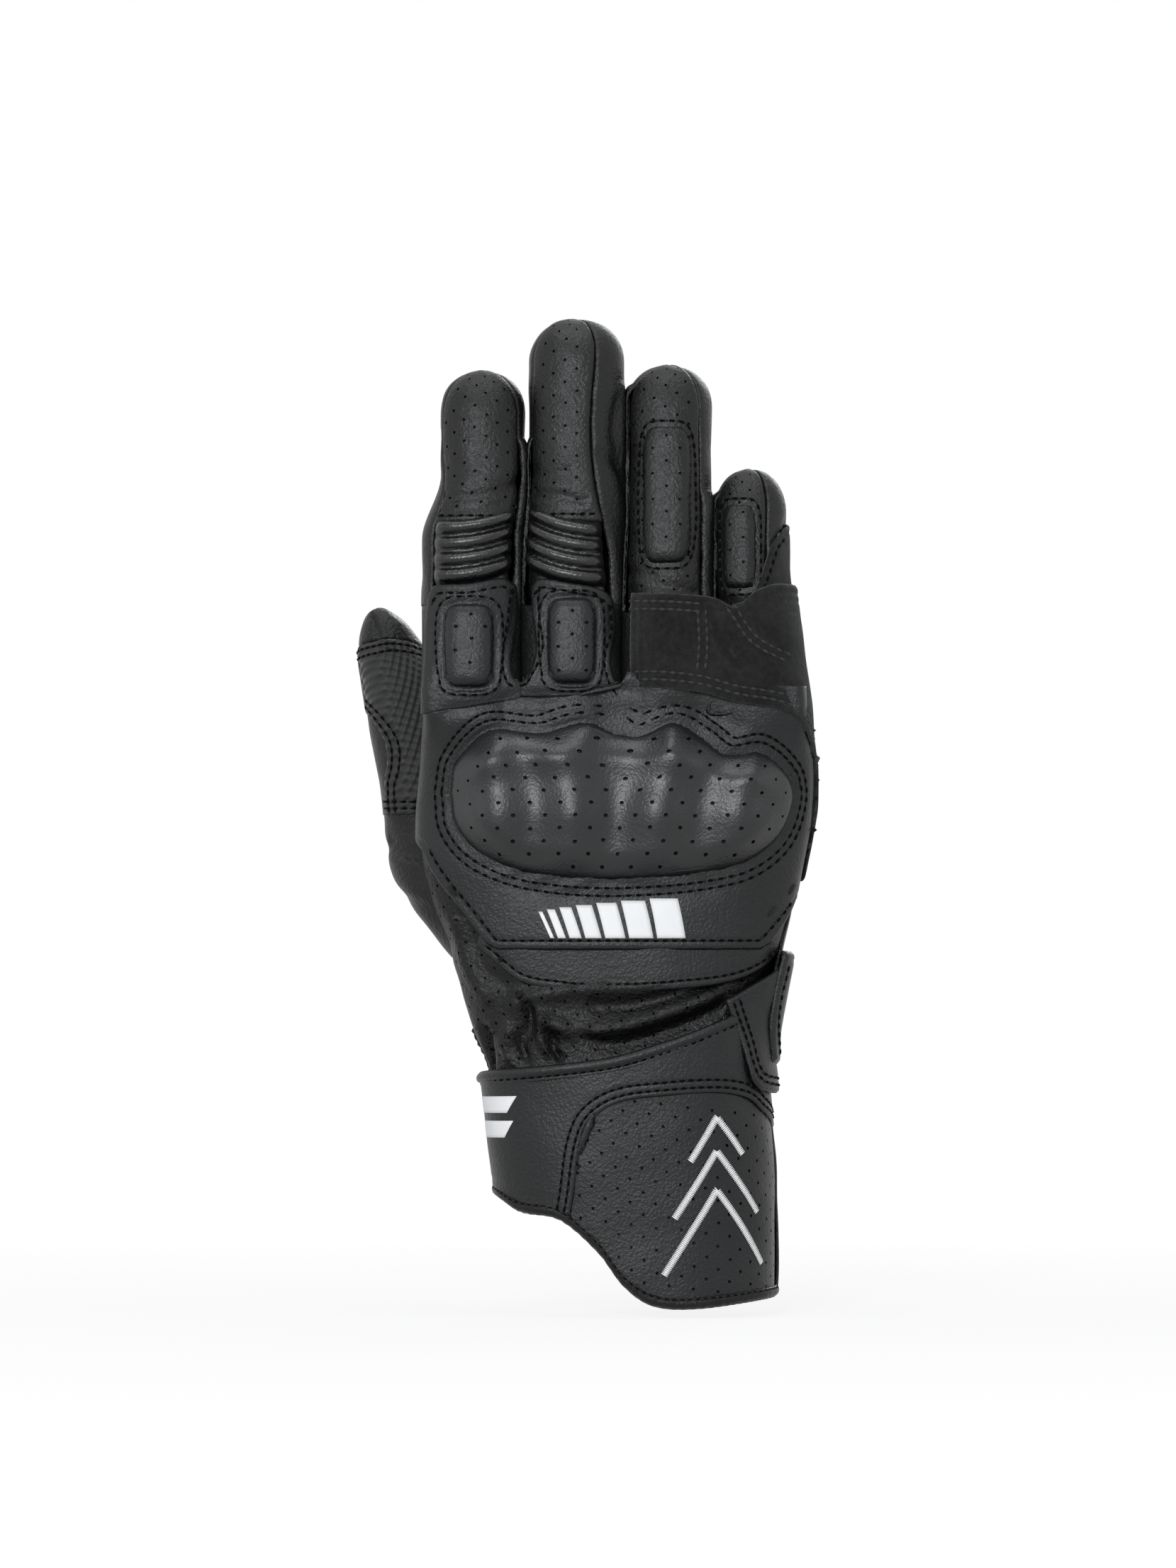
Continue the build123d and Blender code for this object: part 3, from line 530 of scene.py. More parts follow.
SUEDE = suede_finish("suede", 0.0105)
WEAVE = woven_finish("tough woven fabric", 0.0130, 3.0, 0.62, 0.5, 0.5)
ELASTIC = woven_finish("ribbed elastic", 0.016, 1.1, 0.8, 0.4)
LINING = woven_finish("knitted lining", 0.022, 0.9, 0.9, 0.2)
HOOKS = woven_finish("hook and loop", 0.010, 0.8, 0.9, 0.5)
# black thread, whose near-black level and weak gloss also stand for painted shade in the grooves where it
# sinks
THREAD_AND_GROOVE_SHADE = plain_finish("dark thread and painted groove shade", 0.0012, 0.9, 0.35, 0.12, Specular_IOR_Level=0.08)
GREY_THREAD = plain_finish("grey thread", 0.013, 0.8, 0.35, 0.12, Sheen_Weight=0.1)
# near-black painted shade: hole bottoms, the marks between stitches and the slots are painted this dark for
# the shade inside them
PUNCHED_SHADE = plain_finish("punched hole painted shade", 0.0012, 0.9, 1.0, 0.02)
FOAM = plain_finish("foam", 0.03, 0.95, 0.7, 0.3)
SLIDER = plain_finish("slider plastic", 0.016, 0.36, 0.6, 0.06, Coat_Weight=0.1)
WHITE = plain_finish("white print", 0.86, 0.55, 0.5, 0.01, 0.02)
EMBROIDERY = plain_finish("white thread", 0.88, 0.6, 0.4, 0.05, 0.02, Sheen_Weight=0.2)
print("finishes:", len(bpy.data.materials))

# %% [markdown]
# ## Cutting a panel
#
# Every panel starts flat, as a grid with the outline of four smooth sides in pattern millimetres. Its
# cells can be made finer near the sides, where the leather rolls over. `upright` and `level` give the four
# sides of a panel that lies between two lines. A pad is a grid drawn into a disc and squared off again.

# %% Flat panels
MM = 0.001
LINE = 0.4                      # spacing of the points along a side


def upright(left, right):
    """Sides of a panel between two upright lines, both given from below."""
    return {"left": left, "right": right, "bottom": [left[0], right[0]], "top": [left[-1], right[-1]]}


def level(bottom, top):
    """Sides of a panel between two level lines, both given from the left."""
    return {"bottom": bottom, "top": top, "left": [bottom[0], top[0]], "right": [bottom[-1], top[-1]]}


def block(left, right, low, high):
    return level([(left, low), (right, low)], [(left, high), (right, high)])


def side_line(points, soft=True):
    line = trace(points, LINE, soft)

    def spot(t):
        k = min(len(line) - 1.001, t * (len(line) - 1))
        return line[int(k)].lerp(line[int(k) + 1], k - int(k))
    return spot, line


def tree_of(points):
    tree = kdtree.KDTree(len(points))
    for k, point in enumerate(points):
        tree.insert(point, k)
    tree.balance()
    return tree


def flat_panel(bottom, right, top, left, pitch, fine, kinked):
    """Grid between four sides, in pattern millimetres, and the lines of its sides."""
    sides = [side_line(points, name not in kinked)
             for name, points in zip("BRTL", (bottom, right, top, left))]
    (low, low_line), (end, end_line), (high, high_line), (start, start_line) = sides
    columns = max(4, round(max(len(low_line), len(high_line)) * LINE / pitch / COARSE))
    rows = max(4, round(max(len(end_line), len(start_line)) * LINE / pitch / COARSE))
    bm = bmesh.new()
    bmesh.ops.create_grid(bm, x_segments=columns, y_segments=rows, size=0.5)
    corners = [low(0), low(1), high(0), high(1)]
    for v in bm.verts:
        a, b = v.co.x + 0.5, v.co.y + 0.5
        a -= fine * sin(2 * pi * a) / (2 * pi)
        b -= fine * sin(2 * pi * b) / (2 * pi)
        corner = (corners[0].lerp(corners[1], a)).lerp(corners[2].lerp(corners[3], a), b)
        v.co = low(a).lerp(high(a), b) + start(b).lerp(end(b), a) - corner
    return bm, dict(zip("BRTL", (low_line, end_line, high_line, start_line)))


def oval_panel(centre, wide, high, square, pitch):
    """Flat rounded patch: a grid drawn into a disc, and the disc squared off again."""
    bm = bmesh.new()
    columns, rows = (max(7, round(2 * size / pitch / COARSE)) for size in (wide, high))
    bmesh.ops.create_grid(bm, x_segments=columns, y_segments=rows, size=1.0)

    def place(x, y):
        x, y = x * sqrt(1 - y * y / 2), y * sqrt(1 - x * x / 2)
        far = max(hypot(x, y), 1e-6)
        out = ((abs(x) / far) ** square + (abs(y) / far) ** square + 1e-9) ** (-1 / square)
        return Vector((centre[0] + x * out * wide, centre[1] + y * out * high, 0))

    for v in bm.verts:
        v.co = place(v.co.x, v.co.y)
    turns = [2 * pi * k / 120 for k in range(121)]
    ring_line = [place(*(Vector((cos(t), sin(t))) / max(abs(cos(t)), abs(sin(t))))) for t in turns]
    return bm, {"B": ring_line}


print("flat panels ready")

# %% [markdown]
# Holes are punched while the panel is still flat, so that they stay round. Each takes the nearest inner
# point of the grid, moves it towards its own place and opens it to a small octagon.

# %% Holes
SNAP = 0.9                      # farthest that a grid point may be from the hole it becomes


def punch(bm, lines, across, along, radius, margin, keep=lambda p, z: True, lean=0.0):
    """Round holes in staggered rows, away from every side. Returns their faces."""
    edges = tree_of([p for line in lines.values() for p in line])
    inner = [v for v in bm.verts if not v.is_boundary]
    tree = tree_of([v.co for v in inner])
    low = [min(v.co[k] for v in bm.verts) for k in (0, 1)]
    high = [max(v.co[k] for v in bm.verts) for k in (0, 1)]
    chosen, row, z = {}, 0, low[1]
    while z < high[1]:
        x = low[0] + (row % 2) * across / 2
        while x < high[0]:
            spot = Vector((x, z + lean * (x - low[0]), 0))
            _, k, gap = tree.find(spot)
            v = inner[k]
            inside = edges.find(v.co)[2] > margin and keep(*v.co.xy)
            if gap < SNAP * COARSE and inside and v not in chosen:
                room = min(edge.calc_length() for edge in v.link_edges)
                v.co += (spot - v.co).normalized() * min(gap, 0.4 * room)
                chosen[v] = (v.co.copy(), min(radius, room * 0.7))
            x += across
        z, row = z + along, row + 1
    if not chosen:
        return []
    spots = list(chosen.values())
    centres = tree_of([spot for spot, _ in spots])
    made = bmesh.ops.bevel(bm, geom=list(chosen), offset=radius, affect="VERTICES", segments=2, profile=0.5,
                           material=-1, clamp_overlap=False)
    faces = set(made["faces"])
    for v in made["verts"]:
        centre, k, _ = centres.find(v.co)
        middle = all(face in faces for face in v.link_faces)
        v.co = centre if middle else centre + (v.co - centre).normalized() * spots[k][1]
    return made["faces"]


print("punch ready")

# %% [markdown]
# `leather` lays a flat panel on its form. At its sides it rolls over: a folded edge drops by its own
# thickness in a quarter circle, and a sewn-in edge dives deeper and leaves a seam line. `detail` may raise
# or sink any place, for pads, ribs and folds. The holes become short dark tubes, their near-black bottom
# painted shade for the dark inside, and a Solidify modifier gives the hide its thickness inwards.

# %% Panel cutter
FAR = 99.0                      # stands for the distance to a side where a panel has no rolled side
# a hole's bottom is painted near-black as shade
TUBE = (0.16, 0.75)             # depths of a hole's wall and of its dark bottom
surfaces = {}


def bell(t, middle, width):
    return exp(-((t - middle) / width) ** 2)


def crowned(d, width, sharp):
    """Rounded rise from 0 at a side to 1 at a width inside it."""
    return 1 - max(0.0, 1 - d / width) ** sharp


def roll_over(d, radius, depth):
    """How far a folded edge has dropped at a distance d from the side."""
    if d >= radius:
        return 0.0
    return -depth * (1 - sqrt(max(0.0, 1 - (1 - d / radius) ** 2)))


def rows_sunk(d, rows):
    """Thread pulls the leather down a little along its rows."""
    return -sum(0.2 * bell(d, row, 0.6) for row in rows)


def to_object(name, bm, *finishes, thick=0.0, smooth=True):
    bmesh.ops.scale(bm, vec=(MM, MM, MM), verts=bm.verts)
    mesh = bpy.data.meshes.new(name)
    bm.to_mesh(mesh)
    bm.free()
    for polygon in mesh.polygons:
        polygon.use_smooth = smooth
    for finish in finishes:
        mesh.materials.append(finish)
    piece = bpy.data.objects.new(name, mesh)
    bpy.context.scene.collection.objects.link(piece)
    if thick:
        solid = piece.modifiers.new("thickness", "SOLIDIFY")
        solid.thickness, solid.offset = thick * MM, -1
        solid.use_rim = True
    return piece


def leather(name, form, bottom=None, right=None, top=None, left=None, finish=None, pitch=1.1, lift=0.0,
            rolled="BRTL", roll=1.1, depth=1.0, thick=1.1, detail=None, holes=None, relax=0, fine=0.55,
            kinked="", sunk=(), slot=None, shape=None, press=None):
    bm, lines = shape or flat_panel(bottom, right, top, left, pitch, fine, kinked)
    rolled = [key for key in rolled if key in lines]
    for _ in range(relax):
        bmesh.ops.smooth_vert(bm, verts=[v for v in bm.verts if not v.is_boundary], factor=0.5,
                              use_axis_x=True, use_axis_y=True)
    punched = punch(bm, lines, **holes) if holes else []
    edge = tree_of([p for key in rolled for p in lines[key]]) if rolled else None
    flat = {v: v.co.copy() for v in bm.verts}
    for v in bm.verts:
        v.co = form.at(v.co.x, v.co.y)
    bmesh.ops.remove_doubles(bm, verts=[v for v in bm.verts if v.is_boundary], dist=0.002)
    punched = [face for face in punched if face.is_valid]
    bm.normal_update()
    votes = sum(copysign(1, v.normal.dot(form.normal(*flat[v].xy))) for v in list(bm.verts)[::37])
    if votes < 0:
        bmesh.ops.reverse_faces(bm, faces=bm.faces)
        bm.normal_update()
    outward = {v: form.normal(*flat[v].xy) for v in bm.verts} if punched else {}
    for v in bm.verts:
        spot = flat[v]
        d = edge.find(spot)[2] if edge else FAR
        rise = lift + roll_over(d, roll, depth) + rows_sunk(d, sunk)
        if detail:
            rise += detail(spot.x, spot.y, d)
        v.co += (outward.get(v) or v.normal) * rise
        if press:
            v.co.x = press(v.co.x, v.co.z)
    bm.normal_update()
    surfaces[name] = (form, BVHTree.FromBMesh(bm))
    for edge in {edge for face in punched for edge in face.edges}:
        edge.smooth = False             # a sharp rim: the hole's wall may not shade the leather round it
    for depth_in in TUBE if punched else ():
        grown = bmesh.ops.extrude_face_region(bm, geom=punched)["geom"]
        bmesh.ops.delete(bm, geom=punched, context="FACES_ONLY")
        punched = [g for g in grown if isinstance(g, bmesh.types.BMFace)]
        moved = {v: v.normal.copy() for v in grown if isinstance(v, bmesh.types.BMVert)}
        for v, normal in moved.items():
            v.co -= normal * depth_in
        bm.normal_update()
    # the hole bottoms take the near-black finish: painted shade for the dark inside
    for face in punched:
        face.material_index = 1
    piece = to_object(name, bm, finish, PUNCHED_SHADE, thick=thick)
    print(name, len(piece.data.polygons), "faces")
    return piece


print("panel cutter ready")

# %% [markdown]
# ## Thread and folds
#
# Each stitch is a small capsule of thread that dips into the leather at both ends. `stitch` walks along a
# line on the pattern, drops every stitch onto the finished panel with a ray, and gathers all stitches
# that move together in one mesh. A fold is a soft ridge, or a valley, along a line on the pattern.

# %% Stitches
# the mark between two stitches is a dark blob: painted shade of the needle hole
NEEDLE_HOLE_SHADE = (0.55, 0.5, 0.14)      # half length, width and depth of the mark between two stitches
threads = {}


def on_surface(panel, p, z, above=0.0):
    """Place and outward direction on a finished panel."""
    form, tree = surfaces[panel]
    normal = form.normal(p, z)
    start = form.at(p, z) + normal * 9
    hit, hit_normal, _, _ = tree.ray_cast(start, -normal, 14)
    if hit is None:
        return None, normal
    if hit_normal.dot(normal) < 0:
        hit_normal = -hit_normal
    return hit + hit_normal * above, hit_normal


def stitch(group, panel, points, pitch=2.7, length=2.0, width=0.85, soft=True, above=0.1,
           crosswise=False, needle_shade=True):
    """A row of stitches along a line on the pattern, or lying crosswise to it."""
    bm = threads.setdefault(group, bmesh.new())
    line = trace(points, 0.25, soft)
    gone = pitch
    for a, b in zip(line, line[1:]):
        gone += (b - a).length
        if gone < pitch:
            continue
        gone = 0.0
        spot, normal = on_surface(panel, b.x, b.y, above)
        step, _ = on_surface(panel, *(b + (b - a).normalized() * 0.6).xy, above)
        if spot is None or step is None:
            continue
        along = step - spot
        along = (along - normal * along.dot(normal)).normalized()
        across = normal.cross(along)
        if crosswise:
            along, across = across, along
        turn = Matrix((along * length / 2, across * width / 2, normal * width * 0.42)).transposed().to_4x4()
        bmesh.ops.create_uvsphere(bm, u_segments=6, v_segments=4, radius=1.0,
                                  matrix=Matrix.Translation(spot) @ turn)
        # a flattened dark blob between stitches is painted shade of the needle hole
        if needle_shade and not crosswise:
            halves = [way * half for way, half in zip((along, across, normal), NEEDLE_HOLE_SHADE)]
            turn = Matrix(halves).transposed().to_4x4()
            made = bmesh.ops.create_uvsphere(
                bm, u_segments=6, v_segments=3, radius=1.0,
                matrix=Matrix.Translation(spot - along * pitch / 2 - normal * 0.04) @ turn)
            for face in {face for v in made["verts"] for face in v.link_faces}:
                face.material_index = 1


def beside(points, offset):
    """The same line moved sideways on the pattern, to its right when offset is positive."""
    line = trace(points, 1.0)
    moved = []
    for before, here, after in zip(line[:1] + line[:-1], line, line[1:] + line[-1:]):
        way = (after - before).normalized()
        moved.append((here.x + way.y * offset, here.y - way.x * offset))
    near = tree_of(line)                # inside a tight dip the moved line would cross itself
    return [spot for spot in moved if near.find((*spot, 0))[2] >= abs(offset) * 0.93]


def palm(form, *points):
    """Outline on the palm side, given as seen from the back."""
    return [(form.around / 2 - form.wrap(x, z), z) for x, z in points]


class Folds:
    """Ridges and valleys along lines on a pattern: (points, width, height)."""

    def __init__(self, *folds):
        self.folds = []
        for points, width, height in folds:
            line = trace(points, 0.5)
            self.folds.append((tree_of(line), len(line) - 1, width, height))

    def __call__(self, p, z):
        rise = 0.0
        for tree, last, width, height in self.folds:
            _, k, d = tree.find((p, z, 0))
            if d < 2.5 * width:
                rise += height * bell(d, 0, width) * min(1.0, 4 * sin(pi * (k + 0.5) / (last + 1)))
        return rise


def unrest(p, z, size, height, seed=0.0):
    """Soft uneven swelling of leather over what lies below it."""
    return height * noise.fractal(Vector((p / size, z / size, seed)), 0.9, 2.1, 2)


def uneven(size, height, seed):
    """The same swelling as a panel's whole detail."""
    return lambda p, z, d: unrest(p, z, size, height, seed)


print("thread and folds ready")

# %% [markdown]
# ## The back of the hand
#
# The back is one firm, smooth panel from the wrist to the fingers. It is the largest quiet surface of the
# glove, so its edges tell it is leather: it rolls under at the lower left, where it is top-stitched onto
# the softer wrist leather, and ends below in a stitched fold over the yoke. Two rows of stitches
# follow the guard's outline, and four short slots let air in.

# %% Back panel
GUARD = [(-51.9, 146.2), (-50.4, 154.5), (-40.3, 164.0), (-25.2, 163.4), (-11.8, 166.4), (0.3, 162.2),
         (11.5, 166.2), (20.4, 161.8), (27.1, 157.2), (36.5, 157.9), (44.6, 151.0), (46.0, 143.5),
         (40.9, 131.9), (29.3, 124.8), (-1.9, 121.3), (-28.7, 123.0), (-43.0, 128.3), (-50.4, 136.8)]
GUARD_ROWS = (2.2, 4.4)         # distances of the stitch rows from the guard
guard_ring = HAND.seen(*GUARD, GUARD[0])
guard_tree = tree_of(trace(guard_ring, 0.4))
CUT = [(-58.4, 168.4), (-48.0, 170.0), (-39.6, 171.4), (-31.3, 173.2), (-24.8, 173.1),
       (-12.2, 173.8), (-4.0, 174.6)]   # seam between the back panel and the finger tabs
crown_folds = Folds((HAND.seen((-54, 168), *CUT[1:], (2, 172.6)), 2.0, -0.9),
                    (HAND.seen((8, 171.5), (18, 169), (26, 165.5), (32, 163.5)), 2.6, -0.6),
                    (HAND.seen((-52, 160), (-50, 150), (-52, 138)), 3.5, -0.6),
                    (HAND.seen((-36, 121), (-20, 116.5), (4, 117.5), (26, 119)), 3.6, -0.5))


def back_detail(p, z, d):
    near = guard_tree.find((p, z, 0))[2]
    rise = unrest(p, z, 34, 0.55, 3.0) * ramp(168, 158, z)
    rise += rows_sunk(near, GUARD_ROWS)
    rise += 0.25 * bell(near, 1.3, 0.5) - 0.7 * bell(near, 0, 0.7) + crown_folds(p, z)
    return rise


R, L = HAND.side, -HAND.side
back = leather(
    "back_panel_leather", HAND,
    bottom=[(L - 1, 133),
            *HAND.seen((-59.6, 129.6), (-41.2, 103.2), (-38.5, 101.6), (36.5, 101.6), (39.5, 103.5)),
            (R - 3, 115)],
    right=[(R - 3, 115), (R + 1, 125), (R + 2, 150), (R, 176)],
    top=[(L - 1, 168),
         *HAND.seen(*CUT, (-3.2, 176.4), (-2.2, 178.6), (-1.2, 180.6), (0.8, 180.4), (2.4, 176.8)),
         (R, 176.4)],
    left=[(L - 1, 133), (L - 1.5, 150), (L - 1, 168)],
    finish=SMOOTH, lift=0.25, rolled="BL", kinked="BT", roll=1.3, depth=1.1, relax=30, detail=back_detail,
    sunk=(2.6,), slot="smooth_leather")
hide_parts("back_panel")
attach(back, "hand")
for offset in GUARD_ROWS:
    stitch("hand", "back_panel_leather", beside(guard_ring, -offset))
stitch("hand", "back_panel_leather",
       HAND.seen((-56.6, 128.8), (-38.2, 104.2), (36.0, 104.2), (44.8, 114.6)), soft=False)
# the slots are dark sunk marks in the near-black finish: painted shade of the openings
for x, z, lean in ((-51.5, 118.8, -34), (-44.2, 111.6, -34), (40.2, 113.3, 34), (45.6, 119.4, 34)):
    way = Vector((sin(lean * pi / 180), cos(lean * pi / 180))) * 1.2
    middle = Vector(HAND.seen((x, z))[0])
    stitch("slots", "back_panel_leather", [middle - way, middle + way],
           pitch=2.3, length=4.8, width=1.5, above=-0.12, needle_shade=False)

# %% [markdown]
# The yoke is a broad band below the back panel. Its lower edge is folded and stitched, and runs in a
# shallow curve from the thumb side up to the outer side.

# %% Yoke
YOKE_LOW = [(-44.5, 103.0), (-41.8, 100.2), (-31.5, 92.4), (-20, 90.2), (-9.4, 89.4),
            (12.8, 90.4), (31.8, 93.2), (43.6, 101.5)]
yoke = leather(
    "yoke_leather", HAND, bottom=HAND.seen(*YOKE_LOW),
    right=HAND.seen((43.6, 101.5), (46.0, 108.0), (47.5, 117.0)),
    top=HAND.seen((-43.5, 106.5), (-40, 105), (36, 105), (47.5, 117)),
    left=HAND.seen((-44.5, 103.0), (-43.5, 106.5)),
    finish=SMOOTH, lift=-0.75, rolled="BL", kinked="TL", roll=1.3, depth=1.2, sunk=(2.4,),
    detail=uneven(25, 0.5, 8.0), slot="smooth_leather")
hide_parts("back_yoke")
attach(yoke, "hand")
stitch("hand", "yoke_leather", beside(HAND.seen(*YOKE_LOW[1:]), -2.4))

# %% [markdown]
# ## The knuckle guard
#
# A hard shell with four knuckle ridges lies under a stretched cover of perforated leather. The cover is
# one panel: its rise over the hand is a rounded border plus four upright ridges, each with a broad knob
# over the knuckle and a smaller one above. Bell curves simply added up leave soft valleys between them,
# like leather pulled over a shell.

# %% Guard cover
RIDGES = [(HAND.wrap(x, 142), top, tall) for x, top, tall in
          ((-37.0, 155.0, 1.0), (-16.6, 156.5, 1.0), (7.4, 156.0, 0.95), (30.0, 151.5, 0.85))]
PLATEAU, CREST, KNOB, UPPER_KNOB = 3.4, 3.6, 2.4, 1.5       # rises, each over the one before
KNOB_Z, RIDGE_WIDTH = 140.0, 8.0


def guard_detail(p, z, d):
    knuckles = 0.0
    for ridge_p, top, tall in RIDGES:
        crest = CREST + KNOB * bell(z, KNOB_Z, 8.0) + UPPER_KNOB * bell(z, top, 5.0)
        knuckles += tall * crest * bell(p, ridge_p, RIDGE_WIDTH)
    return PLATEAU * crowned(d, 8.0, 2.2) + knuckles * ramp(0.0, 8.5, d) + unrest(p, z, 30, 0.2, 5.0)


ring = trace(guard_ring, 0.4)
corner = [min(range(len(ring)), key=lambda k: (ring[k] - Vector((*HAND.seen(c)[0], 0))).length)
          for c in ((-49.4, 134), (43.6, 134.5), (42.5, 154.5), (-48.5, 158))]


def ring_part(a, b):
    """Part of the guard's outline between two of its places, the shorter way round."""
    size = len(ring)
    ahead, behind = (b - a) % size, (a - b) % size
    step = 1 if ahead <= behind else -1
    return [ring[(a + step * k) % size].xy for k in range(0, min(ahead, behind) + 1, 4)] + [ring[b].xy]


guard = leather(
    "guard_cover_leather", HAND,
    bottom=ring_part(corner[0], corner[1]), right=ring_part(corner[1], corner[2]),
    top=ring_part(corner[3], corner[2]), left=ring_part(corner[0], corner[3]),
    finish=TAUT, pitch=0.85, lift=0.2, roll=2.4, depth=2.2, thick=0.9, relax=60, fine=0.3,
    detail=guard_detail, holes=dict(across=7.4, along=3.6, radius=0.56, margin=2.6),
    slot="perforated_leather")
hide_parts("guard_cover", "guard_shell")
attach(guard, "hand")

# %% [markdown]
# ## Index and middle finger: tabs, pads and ribs
#
# Two firm tabs run on from the back panel over the knuckles, each with a stuffed oval pad. Above a
# stitched edge follows a panel of four rubbery leather ribs that stretches when the finger bends. A
# cylinder with rings would look stiff; here the ribs are drawn on the flat panel, tilted and bowed, with
# round crests and sharp valleys, and then wrapped round the finger.

# %% Helpers for pieces that bend
def bends(piece, lower, upper, low, high):
    """Bakes the piece's placement into its mesh."""
    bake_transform(piece)
    return piece


KNUCKLE = (176, 194)
FINGER_BEND = {"index": (204, 224), "middle": (204, 224), "ring": (200, 216), "little": (194, 208)}
FINGER_SPLIT = {"index": 199, "middle": 199, "ring": 197, "little": 192}
FINGER_BASE = {"index": "index_base", "middle": "middle_base", "ring": "ring_little_base",
               "little": "ring_little_base"}


def pad(name, form, centre, wide, high, rise, lift, holes, finish=SMOOTH):
    """A stuffed pad, crowned in the middle and rolled in at its border."""
    def swell(p, z, d):
        return rise * crowned(d, 3.6, 2.4) + unrest(p, z, 13, 0.12, centre[0])

    return leather(name, form, shape=oval_panel(centre, wide, high, 4.5, 0.8), finish=finish, lift=lift,
                   rolled="B", roll=1.3, depth=1.3, thick=0.9, detail=swell, holes=holes,
                   slot="stuffed_pad")


print("knuckles bend between", *KNUCKLE, "mm")

# %% [markdown]
# Each tab is drawn by its three free sides; the web openings between the fingers are deep U curves. Round
# its pad the leather sinks into a groove, and stitches run along the edges and round the pad.

# %% Tabs
TAB_SIDES = {
    "index": ([CUT[0], (-57.9, 190), (-57.0, 201.5)],
              [(-57.0, 201.5), (-55.4, 204.4), (-46, 205.0), (-37, 206.6), (-33.4, 204.6)],
              [CUT[3], (-31.3, 175.2), (-32.1, 176.9), (-33.7, 178.3), (-34.5, 181.0),
               (-34.5, 184.4), (-33.9, 189.0), (-33.2, 195.0), (-33.0, 200.0), (-33.4, 204.6)]),
    "middle": ([CUT[3], (-31.3, 175.2), (-30.6, 176.9), (-29.2, 178.5), (-28.0, 181.2),
                (-27.1, 184.2), (-26.7, 188.2), (-27.0, 192.0), (-27.7, 196.5), (-27.9, 204.0)],
               [(-27.9, 204.0), (-26.0, 206.4), (-17.5, 205.2), (-9.0, 203.4), (-5.9, 200.6)],
               [CUT[6], (-4.4, 176.2), (-5.5, 178.4), (-6.3, 181.4), (-6.4, 184.8),
                (-5.8, 188.4), (-5.2, 193.0), (-5.9, 200.6)]),
}
TAB_ROWS = {
    "index": [(-34.8, 203.0), (-35.6, 199.0), (-36.1, 193.0), (-36.9, 187.0),
              (-36.8, 181.0), (-35.3, 177.0), (-33.1, 175.2)],
    "middle": [(-31.2, 175.4), (-29.4, 176.6), (-27.3, 180.0), (-25.4, 184.2),
               (-24.8, 188.0), (-25.1, 193.0), (-25.8, 199.0), (-25.4, 203.4)],
}
TAB_PADS = {"index": ((-46.0, 187.4), 6.2, 11.6), "middle": ((-17.0, 188.8), 6.4, 11.9)}
for name, (left, top, right) in TAB_SIDES.items():
    low = CUT[:4] if name == "index" else CUT[3:]
    finger = Tab(FINGERS[name])
    spot, wide, high = TAB_PADS[name]
    centre = finger.seen(spot)[0]
    around_pad = oval_panel(centre, wide + 0.6, high + 0.6, 4.5, 3.0)[1]["B"]
    pad_tree = tree_of(around_pad)

    def tab_detail(p, z, d, pad_tree=pad_tree, finger=finger):
        near = pad_tree.find((p, z, 0))[2]
        fold = crown_folds(HAND.wrap(finger.at(p, z).x, z), z) if z < 178 else 0.0
        fold -= (roll_over(d, 1.2, 1.0) + rows_sunk(d, (2.6,))) * ramp(178.5, 175.5, z)
        groove = -1.1 * bell(near, 0, 0.9) + 0.3 * bell(near, 1.3, 0.5) - 0.3 * bell(near, 2.1, 0.5)
        return fold + unrest(p, z, 22, 0.35, 6.0) * ramp(175, 182, z) + groove

    tab = leather(
        f"{name}_knuckle_tab", finger, bottom=finger.seen(*low), right=finger.seen(*right),
        top=finger.seen(*top), left=finger.seen(*left), finish=SMOOTH, lift=1.5, rolled="RTL", kinked="B",
        roll=1.2, pitch=0.95, detail=tab_detail, relax=10, sunk=(2.6,),
        slot="smooth_leather")
    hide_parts(f"{name}_base_tab")
    bends(tab, "hand", FINGER_BASE[name], *KNUCKLE)
    group = f"{name}_knuckle"
    stitch(group, f"{name}_knuckle_tab", beside(finger.seen(*top), 2.6))
    stitch(group, f"{name}_knuckle_tab", finger.seen(*TAB_ROWS[name]))
    if name == "middle":
        stitch(group, f"{name}_knuckle_tab", beside(finger.seen(*right[1:]), -2.2))
    stitch(group, f"{name}_knuckle_tab",
           [v.xy for v in oval_panel(centre, wide + 2.4, high + 2.2, 4.0, 3.0)[1]["B"]])
    stuffed = pad(f"{name}_knuckle_pad", finger, centre, wide, high, 1.7, 1.9,
                  holes=dict(across=6.6, along=3.3, radius=0.5, margin=2.6))
    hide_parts(f"{name}_pad")
    bends(stuffed, "hand", FINGER_BASE[name], *KNUCKLE)

# %% [markdown]
# ### Finger sleeves
#
# Below the middle joint each finger is one closed sleeve. Above it, the leather is in two parts: a back
# piece of perforated grained leather that goes over the fingertip, and a wall piece that runs from one
# seam round the pad of the finger to the other. Sewn from inside, both edges dive into one sharp seam.

# %% Seams of the fingers: height, then the share of the half width where the back piece ends
SEAMS = {
    "index": ([(199, -0.80), (228, -0.80), (239, -0.94), (268, -0.88)],
              [(199, 0.84), (225, 0.88), (250, 0.84), (268, 0.84)]),
    "middle": ([(199, -0.95), (240, -0.95), (284, -0.9)],
               [(199, 0.80), (216, 0.74), (232, 0.42), (250, 0.30), (270, 0.40), (284, 0.46)]),
    "ring": ([(192, -0.93), (230, -0.93), (270, -0.9)],
             [(192, 0.80), (215, 0.76), (240, 0.72), (270, 0.72)]),
    "little": ([(188, -0.93), (215, -0.93), (240, -0.9)],
               [(188, 0.52), (210, 0.46), (225, 0.44), (240, 0.50)]),
}
BACK_START = {"index": 222.0, "middle": 222.5, "ring": 197.0, "little": 192.0}
RIBBED = {"index": (0.16, 205.8), "middle": (-0.19, 205.2)}     # slope and start of the ribs
